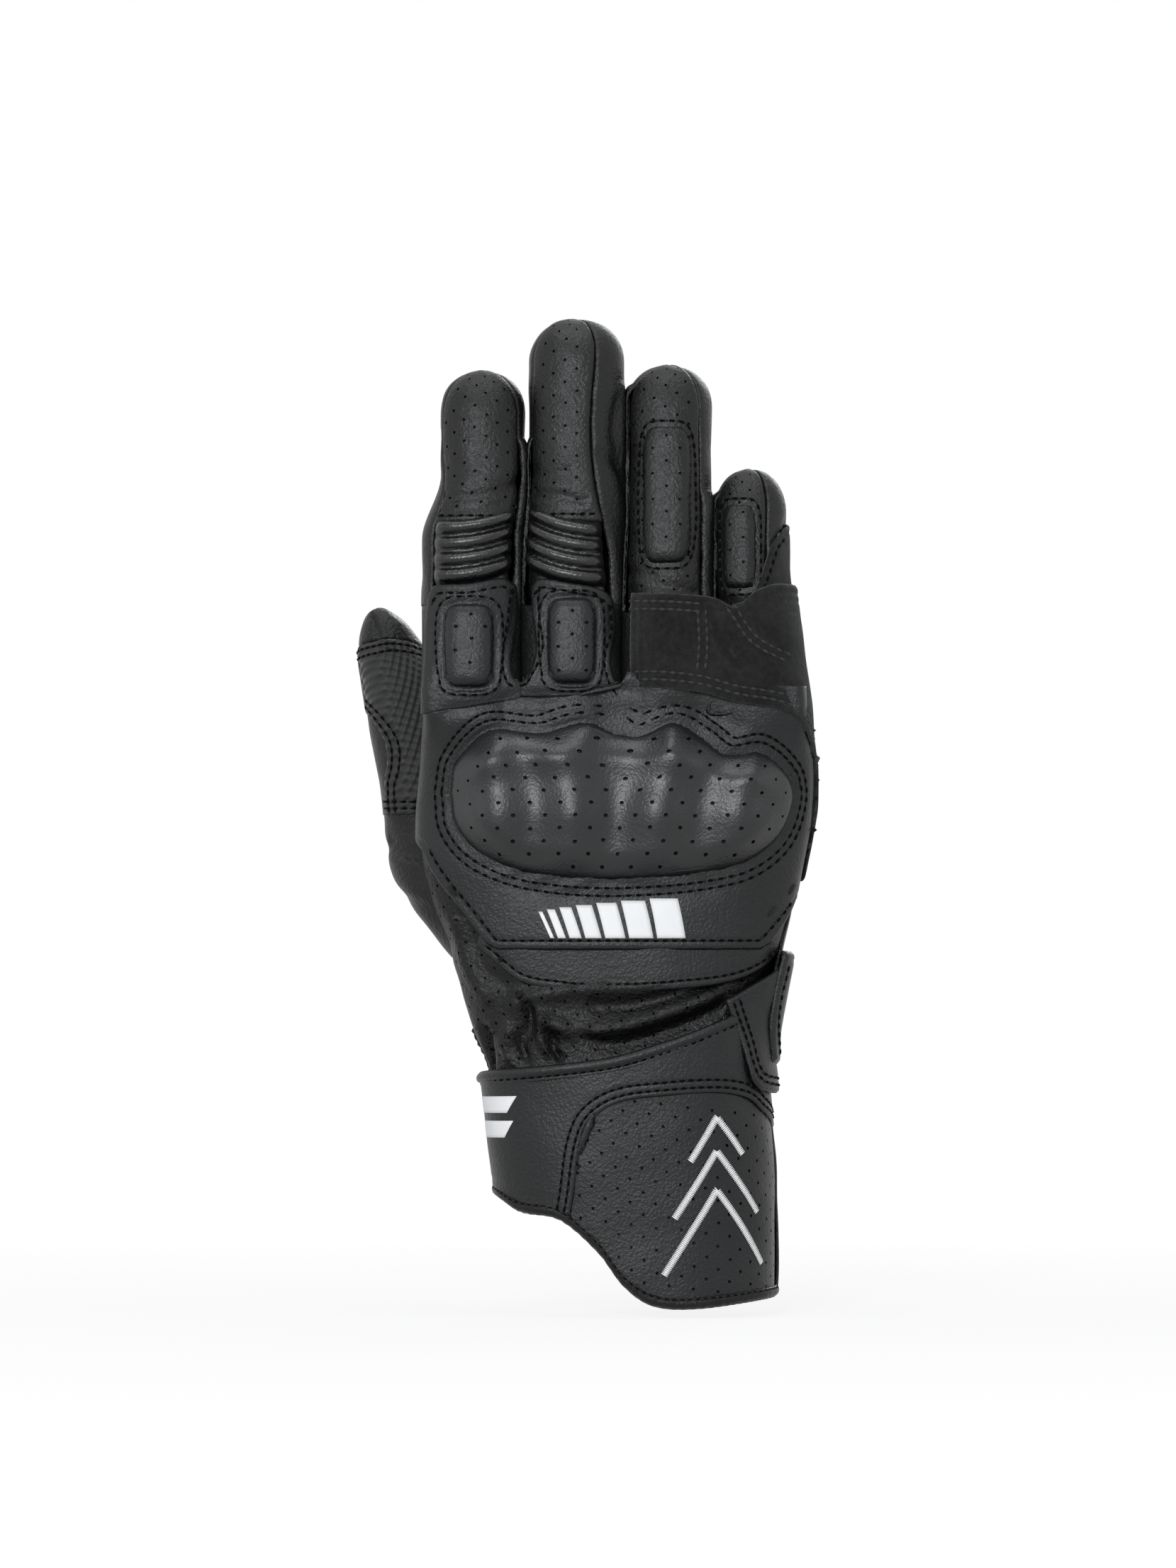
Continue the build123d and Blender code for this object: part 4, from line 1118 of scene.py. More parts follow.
SLEEVE_LOW = 169


def seam(name, side, z):
    return FINGERS[name].share(between(SEAMS[name][side], z)[0])


def seam_line(name, side, low, high, turn=0.0):
    count = max(3, round((high - low) / 6))
    heights = [low + (high - low) * k / count for k in range(count + 1)]
    return [(seam(name, side, z) + turn, z) for z in heights]


print("index finger's back piece is", round(seam("index", 1, 240) - seam("index", 0, 240), 1), "mm wide")

# %% [markdown]
# Fingers lie side by side. Each swells towards its neighbour up to the plane where the two meet, and is
# pressed flat there. The planes are given by height and x, from the index finger to the little one.

# %% Where fingers meet
NEIGHBOURS = {"index": (None, 0), "middle": (0, 1), "ring": (1, 2), "little": (2, None)}
CONTACT = (((206, -31.3), (236, -29.75), 246),      # two places of the plane, and its upper end
           ((200, -2.85), (230, -1.8), 262),
           ((200, 23.05), (230, 23.15), 231))


def presser(name):
    """Moves x so that a finger's side swells towards its neighbour and is flat where they meet."""
    def plane(pair, z):
        (low, start), (high, end), top = CONTACT[pair]
        return mix(start, end, ramp(low, high, z)), z < top, 2.2 * ramp(top + 4, top - 4, z)

    def press(x, z):
        left, right = NEIGHBOURS[name]
        middle = (FINGERS[name].section(min(z, 240))[1] + FINGERS[name].section(min(z, 240))[2]) / 2
        if left is not None and x < middle:
            limit, near, swell = plane(left, z)
            x = max(x - swell * ramp(6, 0, x - limit), limit) if near else x
        if right is not None and x > middle:
            limit, near, swell = plane(right, z)
            x = min(x + swell * ramp(6, 0, limit - x), limit) if near else x
        return x
    return press


print("index and middle finger meet up to", CONTACT[0][2], "mm")

# %% [markdown]
# Creases run across the back pieces just above the ribs or the suede, and along the walls. Each is a line
# on the finger's pattern with a width and a height.

# %% Creases of the fingers
WALL_FOLDS = {
    "index": Folds(([(24, 206), (27, 222), (24, 240)], 2.2, -0.9),
                   ([(60, 204), (58, 225), (61, 250)], 2.6, -0.6)),
    "middle": Folds(([(20, 202), (19, 222), (12, 246), (14, 262)], 2.0, -1.1),
                    ([(26, 205), (24, 226), (22, 250)], 2.4, 0.8),
                    ([(17, 234), (10, 241), (5, 242)], 1.5, -0.9),
                    ([(60, 206), (58, 228), (60, 258)], 2.6, -0.6)),
    "ring": Folds(([(23, 206), (22, 226), (20, 246)], 2.0, -0.9),
                  ([(58, 204), (55, 232), (57, 250)], 2.6, -0.6)),
    "little": Folds(([(14, 196), (16, 210), (15, 224)], 2.0, -0.9),
                    ([(46, 198), (44, 212), (45, 224)], 2.6, -0.5)),
}
BACK_FOLDS = {
    "index": Folds(([(-14, 231), (-4, 229.5), (8, 232), (15, 236)], 1.7, -0.8),
                   ([(-15, 226), (-3, 226.2), (9, 228)], 1.4, -0.6),
                   ([(-15, 240), (-8, 238), (2, 241)], 2.2, -0.5)),
    "middle": Folds(([(-15, 231), (-6, 230), (4, 228)], 1.7, -0.9),
                    ([(-16, 238), (-8, 236), (-1, 237)], 2.0, -0.6),
                    ([(-16, 226.5), (-5, 226.5), (6, 224)], 1.3, -0.6)),
    "ring": Folds(([(-14, 203), (-3, 204.5), (10, 202)], 1.8, -0.8),
                  ([(-15, 209), (-9, 208), (-3, 207.5)], 1.6, -0.7),
                  ([(-15, 199), (0, 199.8), (13, 198.6)], 1.4, -0.6)),
    "little": Folds(([(-13, 201), (-4, 199.5), (4, 200)], 1.6, -0.8),
                    ([(-12, 196), (-3, 196), (5, 194.6)], 1.6, -0.7)),
}

print("creases:", sum(len(folds.folds) for table in (WALL_FOLDS, BACK_FOLDS) for folds in table.values()))

# %% [markdown]
# Three pieces per finger: the closed sleeve at the root, the perforated back piece and the walls, which
# run from the right seam round the palm side to the left one.

# %% Leather of the fingers
for name, finger in FINGERS.items():
    split, base, tip = FINGER_SPLIT[name], FINGER_BASE[name], f"{name}_tip"
    around = finger.around
    sleeve = leather(
        f"{name}_root_sleeve", finger, **block(-around / 2, around / 2, SLEEVE_LOW, split),
        finish=GRAINED, rolled="", fine=0.0,
        detail=lambda p, z, d: unrest(p, z, 16, 0.4, 2.0) * ramp(172, 178, z), pitch=1.3,
        slot="grained_leather", press=presser(name))
    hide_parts(f"{name}_base_sleeve", "knuckle_gussets")
    bends(sleeve, "hand", base, *KNUCKLE)
    low = BACK_START[name]
    folds = BACK_FOLDS[name]
    part = leather(
        f"{name}_back_leather", finger,
        **upright(seam_line(name, 0, low, finger.end), seam_line(name, 1, low, finger.end)),
        finish=GRAINED, lift=0.35, rolled="RLB" if name in RIBBED else "RL", roll=1.8, depth=1.5, pitch=0.95,
        detail=lambda p, z, d, folds=folds: folds(p, z) + unrest(p, z, 13, 0.45, 4.0),
        holes=dict(across=6.7, along=3.1, radius=0.46, margin=2.4, lean=0.2,
                   keep=lambda p, z, low=low: z > low + 5),
        slot="perforated_leather")
    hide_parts(f"{name}_tip_back")
    bends(part, base, tip, *FINGER_BEND[name])
    walls = WALL_FOLDS[name]
    part = leather(
        f"{name}_wall_leather", finger,
        **upright(seam_line(name, 1, split, finger.end), seam_line(name, 0, split, finger.end, around)),
        finish=GRAINED, rolled="RL", roll=1.6, depth=1.3, pitch=1.1,
        detail=lambda p, z, d, walls=walls: walls(p, z) * ramp(199, 205, z) + unrest(p, z, 16, 0.4, 2.0),
        slot="grained_leather", press=presser(name))
    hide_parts(f"{name}_tip_walls", f"{name}_tip_palm", "bend_gussets", "finger_linings")
    bends(part, base, tip, *FINGER_BEND[name])

# %% [markdown]
# The ribs lie between the tab below and the perforated back piece above, and tuck under both edges.

# %% Ribs
RIB_PITCH, RIB_HEIGHT, RIB_BOW = 4.5, 2.6, 0.012
RIBS_LOW, RIBS_HIGH = 201.5, 225.5
for name, (slope, first) in RIBBED.items():
    finger = FINGERS[name]

    def ribs(p, z, d, slope=slope, first=first):
        phase = (z - slope * p - RIB_BOW * p * p - first) / RIB_PITCH
        if phase < 0 or phase > 4.05:
            return -0.4
        crest = 1 - abs(2 * (phase % 1.0) - 1) ** 2.2
        return crest * RIB_HEIGHT * ramp(0, 5, d + 0.4) + unrest(p, z, 8, 0.12, 1.0)

    part = leather(
        f"{name}_ribbed_leather", finger,
        **level([(seam(name, side, 202), RIBS_LOW) for side in (0, 1)],
                [(seam(name, side, 224), RIBS_HIGH) for side in (0, 1)]),
        finish=GLOSSY, lift=-0.2, rolled="RL", roll=2.2, depth=1.8, pitch=0.6, detail=ribs, fine=0.2,
        slot="smooth_leather")
    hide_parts(f"{name}_ribbed_panel")
    bends(part, FINGER_BASE[name], f"{name}_tip", *FINGER_BEND[name])
    low = BACK_START[name]
    row = low + 2.4
    stitch(f"{name}_bend", f"{name}_back_leather",
           [(seam(name, 0, low) + 2, row), (0, row), (seam(name, 1, low) - 2, row)])

# %% [markdown]
# The ring and little fingers carry long pads on their outer phalanges instead.

# %% Long pads
for name, spot, wide, high in (("ring", (9.9, 230.4), 7.0, 19.6), ("little", (30.4, 215.6), 5.4, 12.2)):
    finger = FINGERS[name]
    centre = finger.seen(spot)[0]
    stuffed = pad(f"{name}_long_pad", finger, centre, wide, high, 1.6, 0.7,
                  holes=dict(across=7.0, along=3.6, radius=0.42, margin=2.6), finish=GRAINED)
    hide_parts(f"{name}_pad")
    bends(stuffed, FINGER_BASE[name], f"{name}_tip", *FINGER_BEND[name])
    stitch(f"{name}_bend", f"{name}_back_leather",
           [v.xy for v in oval_panel(centre, wide + 1.5, high + 1.4, 4.2, 3.0)[1]["B"]])

# %% [markdown]
# ## Suede on the outer side
#
# A piece of suede covers the roots of the ring and little fingers, bridges the gap between them so that
# the little finger can't be bent away, and runs down the outer edge of the hand. Double rows of stitches
# hold it.

# %% Suede
SUEDE_ROWS = (2.4, 4.6)
SUEDE_LEFT = [(0.2, 175.8), (0.0, 189), (0.3, 202.4)]
SUEDE_TOP = [(0.3, 202.4), (10.0, 202.2), (19.6, 201.6), (24.0, 200.8), (29.4, 198.4),
             (34.5, 202.8), (41.0, 205.0)]
upper_side = (OUTER.side + 9, 203)
suede_folds = Folds((OUTER.seen((22, 200), (25, 188), (31, 180)), 2.2, -1.3),
                    (OUTER.seen((30, 203), (36, 192), (43, 186)), 2.2, -0.7),
                    (OUTER.seen((26, 197), (31, 188)), 1.8, 0.6))


def suede_detail(p, z, d):
    return suede_folds(p, z) * ramp(176, 182, z) + unrest(p, z, 17, 0.5, 7.0)


SUEDE_LOW = [(0.4, 175.4), (8.0, 175.4), (19.5, 174.2), (30.2, 171.4), (42.7, 168.8), (48.2, 164.0)]
side_end = [(OUTER.side - 2, 154), (OUTER.side - 1, 140), (OUTER.side + 1, 122), (OUTER.side + 9, 121)]
side = leather(
    "suede_side", OUTER, bottom=OUTER.seen(*SUEDE_LOW) + side_end,
    right=[side_end[-1], (OUTER.side + 9, 150), upper_side],
    top=OUTER.seen(*SUEDE_TOP) + [upper_side], left=OUTER.seen(SUEDE_LOW[0], *SUEDE_LEFT[1:]),
    finish=SUEDE, lift=1.5, rolled="BTL", roll=1.0, depth=0.9, thick=1.3, detail=suede_detail,
    sunk=SUEDE_ROWS, slot="suede")
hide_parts("finger_bridge", "side_panel")
bends(side, "hand", "ring_little_base", *KNUCKLE)
for offset in SUEDE_ROWS:
    stitch("outer_knuckles", "suede_side", beside(OUTER.seen(*SUEDE_TOP[:3]), offset), pitch=2.4)
    stitch("outer_knuckles", "suede_side", beside(OUTER.seen(*SUEDE_LOW), -offset)[2:], pitch=2.4)
for offset in (0.0, 2.2):
    stitch("outer_knuckles", "suede_side",
           OUTER.seen((18.6 + offset, 197), (19.0 + offset, 188), (18.4 + offset, 180)), pitch=2.4)
    stitch("outer_knuckles", "suede_side",
           beside(OUTER.seen((29, 198.5), (35, 190), (44, 184.5)), offset), pitch=2.4)

wing_edge = LITTLE.seen((29.4, 198.8), (33.4, 201.2), (36.6, 208.0), (39.4, 216.5), (42.6, 221.0))
wing = leather(
    "little_finger_suede", LITTLE, bottom=[wing_edge[0], (LITTLE.side + 8, 194)],
    right=[(LITTLE.side + 8, 194), (LITTLE.side + 8, 220)],
    top=[wing_edge[-1], (LITTLE.side + 3, 222.3), (LITTLE.side + 8, 220)],
    left=wing_edge, finish=SUEDE, lift=1.25, rolled="TL", roll=0.9, depth=0.9, thick=1.3, sunk=(2.2,),
    detail=lambda p, z, d: unrest(p, z, 14, 0.4, 5.0) + 0.25 * ramp(204, 197, z), slot="suede")
bends(wing, "ring_little_base", "little_tip", *FINGER_BEND["little"])
stitch("little_bend", "little_finger_suede", beside(wing_edge, 2.2)[1:-1], pitch=2.3)

# %% [markdown]
# A small loop of leather peeps out below the suede, and one dark mark of painted shade, standing for a needle
# hole, marks where its rows meet.

# %% Loop and hole
spot = OUTER.seen((28.8, 184.7))[0]
stitch("outer_slots", "suede_side", [(spot[0] - 0.6, spot[1] + 1), (spot[0] + 0.6, spot[1] - 1)],
       pitch=1.2, length=3.2, width=1.9, above=-0.05, needle_shade=False)
loop = leather(
    "small_loop", HAND, shape=oval_panel(HAND.seen((25.6, 170.2))[0], 4.6, 2.7, 3.0, 0.6),
    finish=DARK, lift=0.25, rolled="B", roll=0.8, depth=0.7, thick=0.9, slot="smooth_leather",
    detail=lambda p, z, d: -0.55 * ramp(0.9, 1.9, d))
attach(loop, "hand")

# %% [markdown]
# Between the fingers a floor of dark leather closes the hand, as the gussets of a real glove do.

# %% Web floor
WEB_X, WEB_WIDTH, WEB_DEPTH, WEB_Z = -6.5, 103, 24, 173.6
bm = bmesh.new()
bmesh.ops.create_grid(bm, x_segments=60, y_segments=14, size=0.5)
for v in bm.verts:
    v.co = (WEB_X + v.co.x * WEB_WIDTH, v.co.y * WEB_DEPTH, WEB_Z + 0.6 * sin(v.co.x * 40))
webs = to_object("web_floor", bm, DARK, thick=0.8)
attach(webs, "hand")
print("web floor at", WEB_Z, "mm")

# %% [markdown]
# ## Wrist
#
# Between the hand and the cuff lies thin, dark, perforated leather gathered over an elastic, so that it
# stretches when the wrist bends. It has the liveliest surface of the glove: long folds fan out from the
# thumb side towards the outer side. Each fold is a ridge along its own line; a cloth simulation could
# make folds too, but drawn ones stay where they are wanted.

# %% Wrist leather
W = WRIST.side
wrist_folds = Folds(
    (WRIST.seen((-36, 85), (-27, 88.5), (-14, 90.5), (2, 91), (16, 92.5)), 2.4, 1.8),
    (WRIST.seen((-29, 84.5), (-23, 81), (-14, 78.5), (-2, 80), (12, 84.5), (26, 90)), 2.6, 2.3),
    (WRIST.seen((-30, 88), (-28.5, 81), (-31.5, 75), (-30, 70)), 2.0, -2.3),
    (WRIST.seen((-25, 83), (-25.8, 77), (-22.5, 71.5)), 1.9, 1.7),
    (WRIST.seen((-21.5, 77.5), (-22.8, 73.8), (-20, 70.8)), 1.5, -2.0),
    (WRIST.seen((-19, 79.5), (-8, 75.5), (4, 76.8), (17, 81.5), (28, 86.5)), 2.2, -1.6),
    (WRIST.seen((-34, 80), (-36, 74), (-34, 69)), 1.9, 1.2),
    (WRIST.seen((-14, 85.5), (0, 86), (14, 89.5), (27, 93.5)), 2.0, -1.5),
    (WRIST.seen((-48, 113), (-42, 97), (-33, 90)), 3.0, -1.0),
    (WRIST.seen((-52, 112), (-47, 97), (-40, 86)), 3.0, 1.0),
    (WRIST.seen((-41.6, 79.5), (-40.8, 73), (-39.6, 66)), 1.9, -4.2),
    ([(48, 84), (62, 86), (76, 83), (90, 85)], 2.4, 0.9),
    ([(44, 76), (60, 74), (78, 77), (96, 75)], 2.2, -1.0))
WRIST_LOW = 54.5
WRIST_TOP = [(-2 * W, 100), (-W - 18, 101), (-W - 13, 106), (-W - 10, 128), (-W - 4, 134),
             *HAND.seen((-57.5, 129.5), (-40.5, 106), (-36, 105)), (20, 105), (W - 8, 106), (W + 6, 100),
             (2 * W, 100)]


def wrist_detail(p, z, d):
    tucked = 1.3 * ramp(96, 104, z)     # the upper end lies under the back panel
    return wrist_folds(p, z) * ramp(60, 68, z) - tucked + unrest(p, z, 18, 0.5, 3.0)


wrist = leather(
    "wrist_leather", WRIST, **level([(-2 * W, WRIST_LOW), (2 * W, WRIST_LOW)], WRIST_TOP),
    finish=DARK, rolled="", kinked="T", fine=0.0, pitch=0.95, thick=0.9,
    detail=wrist_detail,
    holes=dict(across=7.3, along=3.2, radius=0.45, margin=3.0, lean=-0.12,
               keep=lambda p, z: abs(p) < 56 and z > 70),
    slot="perforated_leather")
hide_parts("wrist_gusset")
WRIST_BEND = ("cuff", "hand", 64, 81)
bends(wrist, *WRIST_BEND)
elastic = leather(
    "wrist_elastic_strip", GUSSET,
    **level([(-W - 14, 64), (-W + 5, 64)], [(-W - 14, 79), (-W + 5.5, 79)]),
    finish=ELASTIC, lift=0.5, roll=1.0, depth=0.8, thick=1.4, pitch=0.7,
    detail=lambda p, z, d: 0.2 * sin(2 * pi * z / 1.9) + unrest(p, z, 8, 0.2),
    slot="elastic")
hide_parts("wrist_elastic")
bends(elastic, *WRIST_BEND)

# %% [markdown]
# ## Cuff
#
# The cuff has two layers on its back. The lower one is the perforated panel, stretched tight. The upper
# one is an L-shaped panel of smooth leather whose folded edge is stitched down over it with two rows. A
# rolled hem closes the top, a bound edge the bottom: a narrow strip whose lower side drops round the rim.

# %% Cuff edges
RIM = [(-46.0, 32.6), (-39.0, 31.8), (-32.0, 27.6), (-20.4, 25.4), (-9.4, 16.0),
       (-3.0, 7.4), (5.0, 1.6), (16.7, 0.4), (39.3, 2.8), (44.0, 3.2)]     # x, and height of the lower edge
C = CUFF.side


def rim(low=-2 * C, high=2 * C, offset=0.0):
    """Line of the bound edge between two places round the cuff, raised by an offset."""
    places = [low + (high - low) * k / 90 for k in range(91)]
    return [(p, between(RIM, CUFF.at(p, 20).x)[0] + offset) for p in places]


BORDER = [*CUFF.seen((-17.8, 24.6), (-16.6, 31.0), (-14.4, 46.0), (-11.2, 53.6), (-3.6, 58.4),
                     (10, 60.3), (24.6, 61.0), (33.0, 59.4), (37.5, 55.5)), (C + 3, 50.5)]
HEM = [(-C - 4, 66.2), *CUFF.seen((-42.6, 66.4), (-9.4, 70.9), (9.6, 76.0), (24.0, 81.5), (28.2, 83.3))]
HEM_WIDTH, BINDING_WIDTH = 4.4, 3.3
BORDER_ROWS = (1.9, 4.0)
hem_low, hem_tree = beside(HEM, HEM_WIDTH), tree_of(trace(HEM, 0.4))
start = CUFF.wrap(-21.5, 27)
print("round the bound edge:", round(4 * C, 1), "mm")

# %% [markdown]
# Now the cuff's panels in the order of sewing: the perforated one first, then the L-shaped one over it.

# %% Back of the cuff
perforated = leather(
    "cuff_perforated_leather", CUFF, bottom=rim(start, C + 3, 1.0), right=[(C + 3, 4.0), (C + 3, 54)],
    top=[(start + 4, 56), *CUFF.seen((-6, 61.5), (24, 64), (36, 62.5)), (C + 3, 54)],
    left=[rim(start, C, 1.0)[0], (start + 4, 56)],
    finish=SMOOTH, rolled="", fine=0.2, lift=-0.5, relax=40, detail=uneven(26, 0.7, 5.0),
    holes=dict(across=7.2, along=3.2, radius=0.48, margin=3.0, lean=-0.12), slot="perforated_leather")
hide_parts("cuff_perforated_panel")
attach(perforated, "cuff")
corner_p = CUFF.wrap(31, 78)
CUFF_SWELL = uneven(30, 0.6, 9.0)
panel = leather(
    "cuff_back_leather", CUFF, bottom=rim(-C - 5, BORDER[0][0] - 0.5, 1.0) + BORDER,
    right=[BORDER[-1], (C + 3, 66)], left=[(-C - 5, 33.4), (-C - 4, 64)],
    top=beside(HEM, 2.4)[::6] + [(corner_p, 80), (corner_p + 8, 74), (C + 3, 66)],
    finish=SMOOTH, lift=0.5, rolled="B", roll=1.2, depth=1.5, fine=0.3, relax=25,
    detail=CUFF_SWELL, sunk=BORDER_ROWS, slot="smooth_leather")
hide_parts("cuff_back_panel")
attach(panel, "cuff")
for offset in BORDER_ROWS:
    stitch("cuff", "cuff_back_leather", beside(BORDER, -offset)[1:-3], pitch=2.3)

# %% [markdown]
# The hem is a rolled tube with a stitched foot, the bound edge a strip of dark leather round the rim. The
# palm side is one plain grained panel between them.

# %% Hem, bound edge and palm side
HEM_ROLL, HEM_ROW = 3.0, 3.1    # width of the rolled tube, and distance of its stitches from the top


def hem_detail(p, z, d):
    down = hem_tree.find((p, z, 0))[2]
    tube = 1.1 * sin(pi * min(down, HEM_ROLL) / HEM_ROLL) ** 0.6
    return tube - 0.4 * bell(down, HEM_ROW, 0.35) + unrest(p, z, 14, 0.3)


hem = leather(
    "cuff_hem_leather", CUFF, **level(hem_low, HEM), finish=SMOOTH, lift=0.6, rolled="BT", roll=0.8,
    depth=0.8, pitch=0.55, fine=0.1, thick=1.6, detail=hem_detail,
    slot="smooth_leather")
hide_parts("cuff_hem")
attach(hem, "cuff")
stitch("cuff", "cuff_hem_leather", beside(HEM, HEM_ROW), pitch=2.3)
binding = leather(
    "cuff_binding_leather", CUFF, **level(rim(), rim(offset=BINDING_WIDTH)), finish=DARK, lift=0.85,
    rolled="B", roll=1.7, depth=2.4, pitch=0.6, fine=0.2,
    thick=2.4, detail=lambda p, z, d: -0.75 * ramp(2.3, 3.1, d) + unrest(p, z, 12, 0.2, 4.0),
    slot="smooth_leather")
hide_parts("cuff_binding")
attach(binding, "cuff")
stitch("cuff", "cuff_binding_leather", rim(offset=2.75), pitch=2.2, length=1.5, width=0.45)
cuff_palm = leather(
    "cuff_palm_leather", CUFF, **level(rim(C + 1, 3 * C - 2, 1.0), [(C + 1, 58.5), (3 * C - 3, 58.5)]),
    finish=GRAINED, rolled="TLR", lift=0.2, sunk=(2.4,), detail=uneven(22, 0.7, 6.0), slot="grained_leather")
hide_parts("cuff_palm_panel")
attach(cuff_palm, "cuff")
stitch("cuff", "cuff_palm_leather", [(C + 5, 56.1), (3 * C - 7, 56.1)])

# %% [markdown]
# ### White accents
#
# The white bars at the side are a thin printed film; the nested chevrons on the perforated panel are
# embroidered. Embroidery is satin stitch: many short threads lying side by side across a line. The same
# stitch tool makes them, turned crosswise.

# %% Embroidery
CHEVRONS = ([(9, 10), (24, 34), (37, 13)],
            [(12, 26), (24, 45), (35.5, 27.5)],
            [(16.5, 42), (24, 54.5), (31.5, 44)])
for line in CHEVRONS:
    stitch("white", "cuff_perforated_leather", CUFF.seen(*line),
           pitch=0.42, length=2.4, width=0.5, soft=False, above=0.22, crosswise=True)
print("embroidery:", len(threads["white"].faces), "faces")

# %% [markdown]
# A printed bar is a film of paint 0.05 mm thick, cut as a four-cornered panel and laid on the leather.

# %% Printed bars
def bar(name, form, corners, lift, detail, body):
    """A printed bar: a thin film between four corners, low left first, laid on the leather below."""
    a, b, c, d = form.seen(*corners)
    film = leather(name, form, **level([a, b], [d, c]), finish=WHITE, lift=lift, rolled="", thick=0.05,
                   pitch=1.2, fine=0.0, detail=detail)
    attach(film, body)


BARS, BAR_LOW, BAR_TOP, BAR_GAP = 7, 104.9, 112.4, 1.25
x = -26.4                       # left end of the row; each bar is a little wider and taller than the last
for k in range(BARS):
    wide = 1.1 + 1.15 * k
    top, shift = BAR_TOP + 0.62 * k, 3.4 - 0.2 * k
    corners = [(x + shift, BAR_LOW), (x + shift + wide, BAR_LOW), (x + wide, top), (x, top)]
    bar(f"printed_bar_{k + 1}", HAND, corners, 0.3, back_detail, "hand")
    x += wide + BAR_GAP
CUFF_BARS = ([(-41.6, 48.2), (-35.4, 48.6), (-33.0, 53.4), (-42.2, 53.0)],
             [(-42.4, 55.2), (-34.8, 55.6), (-32.2, 60.4), (-42.8, 59.8)])
for k, corners in enumerate(CUFF_BARS):
    bar(f"cuff_bar_{k + 1}", CUFF, corners, 0.58, CUFF_SWELL, "cuff")

# %% [markdown]
# ## Closures
#
# The strap anchor is a firm flap stitched to the outer side of the wrist; the wrist strap is sewn into
# it and crosses the palm. The cuff flap does the same from the thumb side. Both hold with hook and loop.

# %% Strap anchor
STRAP = Merged(CUFF, HAND, (64, 90))
S = STRAP.side
ANCHOR_ROWS = (1.9, 3.8)
anchor = leather(
    "strap_anchor_leather", STRAP,
    bottom=STRAP.seen((32.6, 64.5), (35.0, 61.6)) + [(S + 1, 60.8), (S + 5, 64), (S + 12, 72)],
    right=[(S + 12, 72), (S + 13, 84), (S + 9, 101)],
    top=STRAP.seen((25.8, 87.2), (43.0, 101.4)) + [(S + 9, 101)],
    left=STRAP.seen((32.6, 64.5), (29.8, 75), (25.8, 87.2)),
    finish=SMOOTH, lift=2.7, rolled="BLT", roll=1.2, depth=1.5, kinked="T", sunk=ANCHOR_ROWS, thick=1.6,
    detail=lambda p, z, d: unrest(p, z, 18, 0.5, 2.0) - 1.4 * ramp(S, S + 9, p), slot="smooth_leather")
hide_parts("strap_anchor")
ANCHOR_BEND = ("cuff", "hand", 61, 76)
bends(anchor, *ANCHOR_BEND)
anchor_edge = STRAP.seen((26.6, 85.0), (29.8, 75), (32.4, 65.8), (35.6, 62.2)) + [(S, 60.6)]
for offset in ANCHOR_ROWS:
    stitch("anchor", "strap_anchor_leather", beside(anchor_edge, -offset), pitch=2.3)
padded = leather(
    "strap_root_pad", STRAP, bottom=STRAP.seen((37.2, 69.5)) + [(S + 4, 68.4), (S + 10, 70), (S + 17, 74)],
    right=[(S + 17, 74), (S + 19, 84), (S + 16, 99)],
    top=STRAP.seen((41.0, 101.6)) + [(S + 4, 101.2), (S + 16, 99)],
    left=STRAP.seen((37.2, 69.5), (37.0, 84), (41.0, 101.6)),
    finish=SMOOTH, lift=3.5, rolled="BLT", roll=1.4, depth=1.6, sunk=(2.4,), thick=2.0,
    detail=lambda p, z, d: 0.5 * crowned(d, 4, 2) + unrest(p, z, 15, 0.4, 7.0), slot="smooth_leather")
bends(padded, *ANCHOR_BEND)
stitch("anchor", "strap_root_pad", beside(STRAP.seen((37.4, 71.5), (37.0, 84), (40.4, 99.4)), 2.4))

# %% [markdown]
# Both straps are one kind of piece: a firm band with a slightly rounded end and a row of stitches all
# round. Near its root each sinks in a little, where it is sewn under its anchor or under the cuff.

# %% Straps
def strap(name, form, low, high, start, end, node, body, root, sink):
    """A strap round the palm side, from one place on the pattern to the other."""
    lift, edge = 3.6, 2.0       # height over the form, and distance of the stitches from the sides

    def rise(p, z, d):
        return unrest(p, z, 20, 0.3, lift) - sink * ramp(14, 0, abs(p - root))

    middle = (low + high) / 2
    piece = leather(
        name, form, bottom=[(start, low), (end, low)], right=[(end, low), (end + 1.4, middle), (end, high)],
        top=[(start, high), (end, high)], left=[(start, low), (start - 1.4, middle), (start, high)],
        finish=SMOOTH, lift=lift, roll=1.0, depth=0.9, thick=2.0, detail=rise, sunk=(edge,),
        slot="smooth_leather")
    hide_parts(node)
    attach(piece, body)
    row = [(start + edge, low + edge), (end - edge, low + edge),
           (end - edge, high - edge), (start + edge, high - edge)]
    stitch(body, name, row + row[:1], soft=False)
    return piece


strap("wrist_strap_leather", HAND, low=76, high=92, start=R + 7.0, end=palm(HAND, (-28.2, 84))[0][0],
      node="wrist_strap", body="wrist_strap", root=R + 7, sink=0.6)
strap("cuff_flap_leather", CUFF, low=36.5, high=55, start=palm(CUFF, (17.2, 46))[0][0], end=3 * C - 7,
      node="cuff_flap", body="cuff_flap", root=3 * C - 7, sink=2.6)

# %% [markdown]
# ## Palm
#
# Thicker grained leather covers the palm, with a stitched patch over the heel and a moulded slider at its
# outer edge, so that the hand slides rather than grips in a fall.

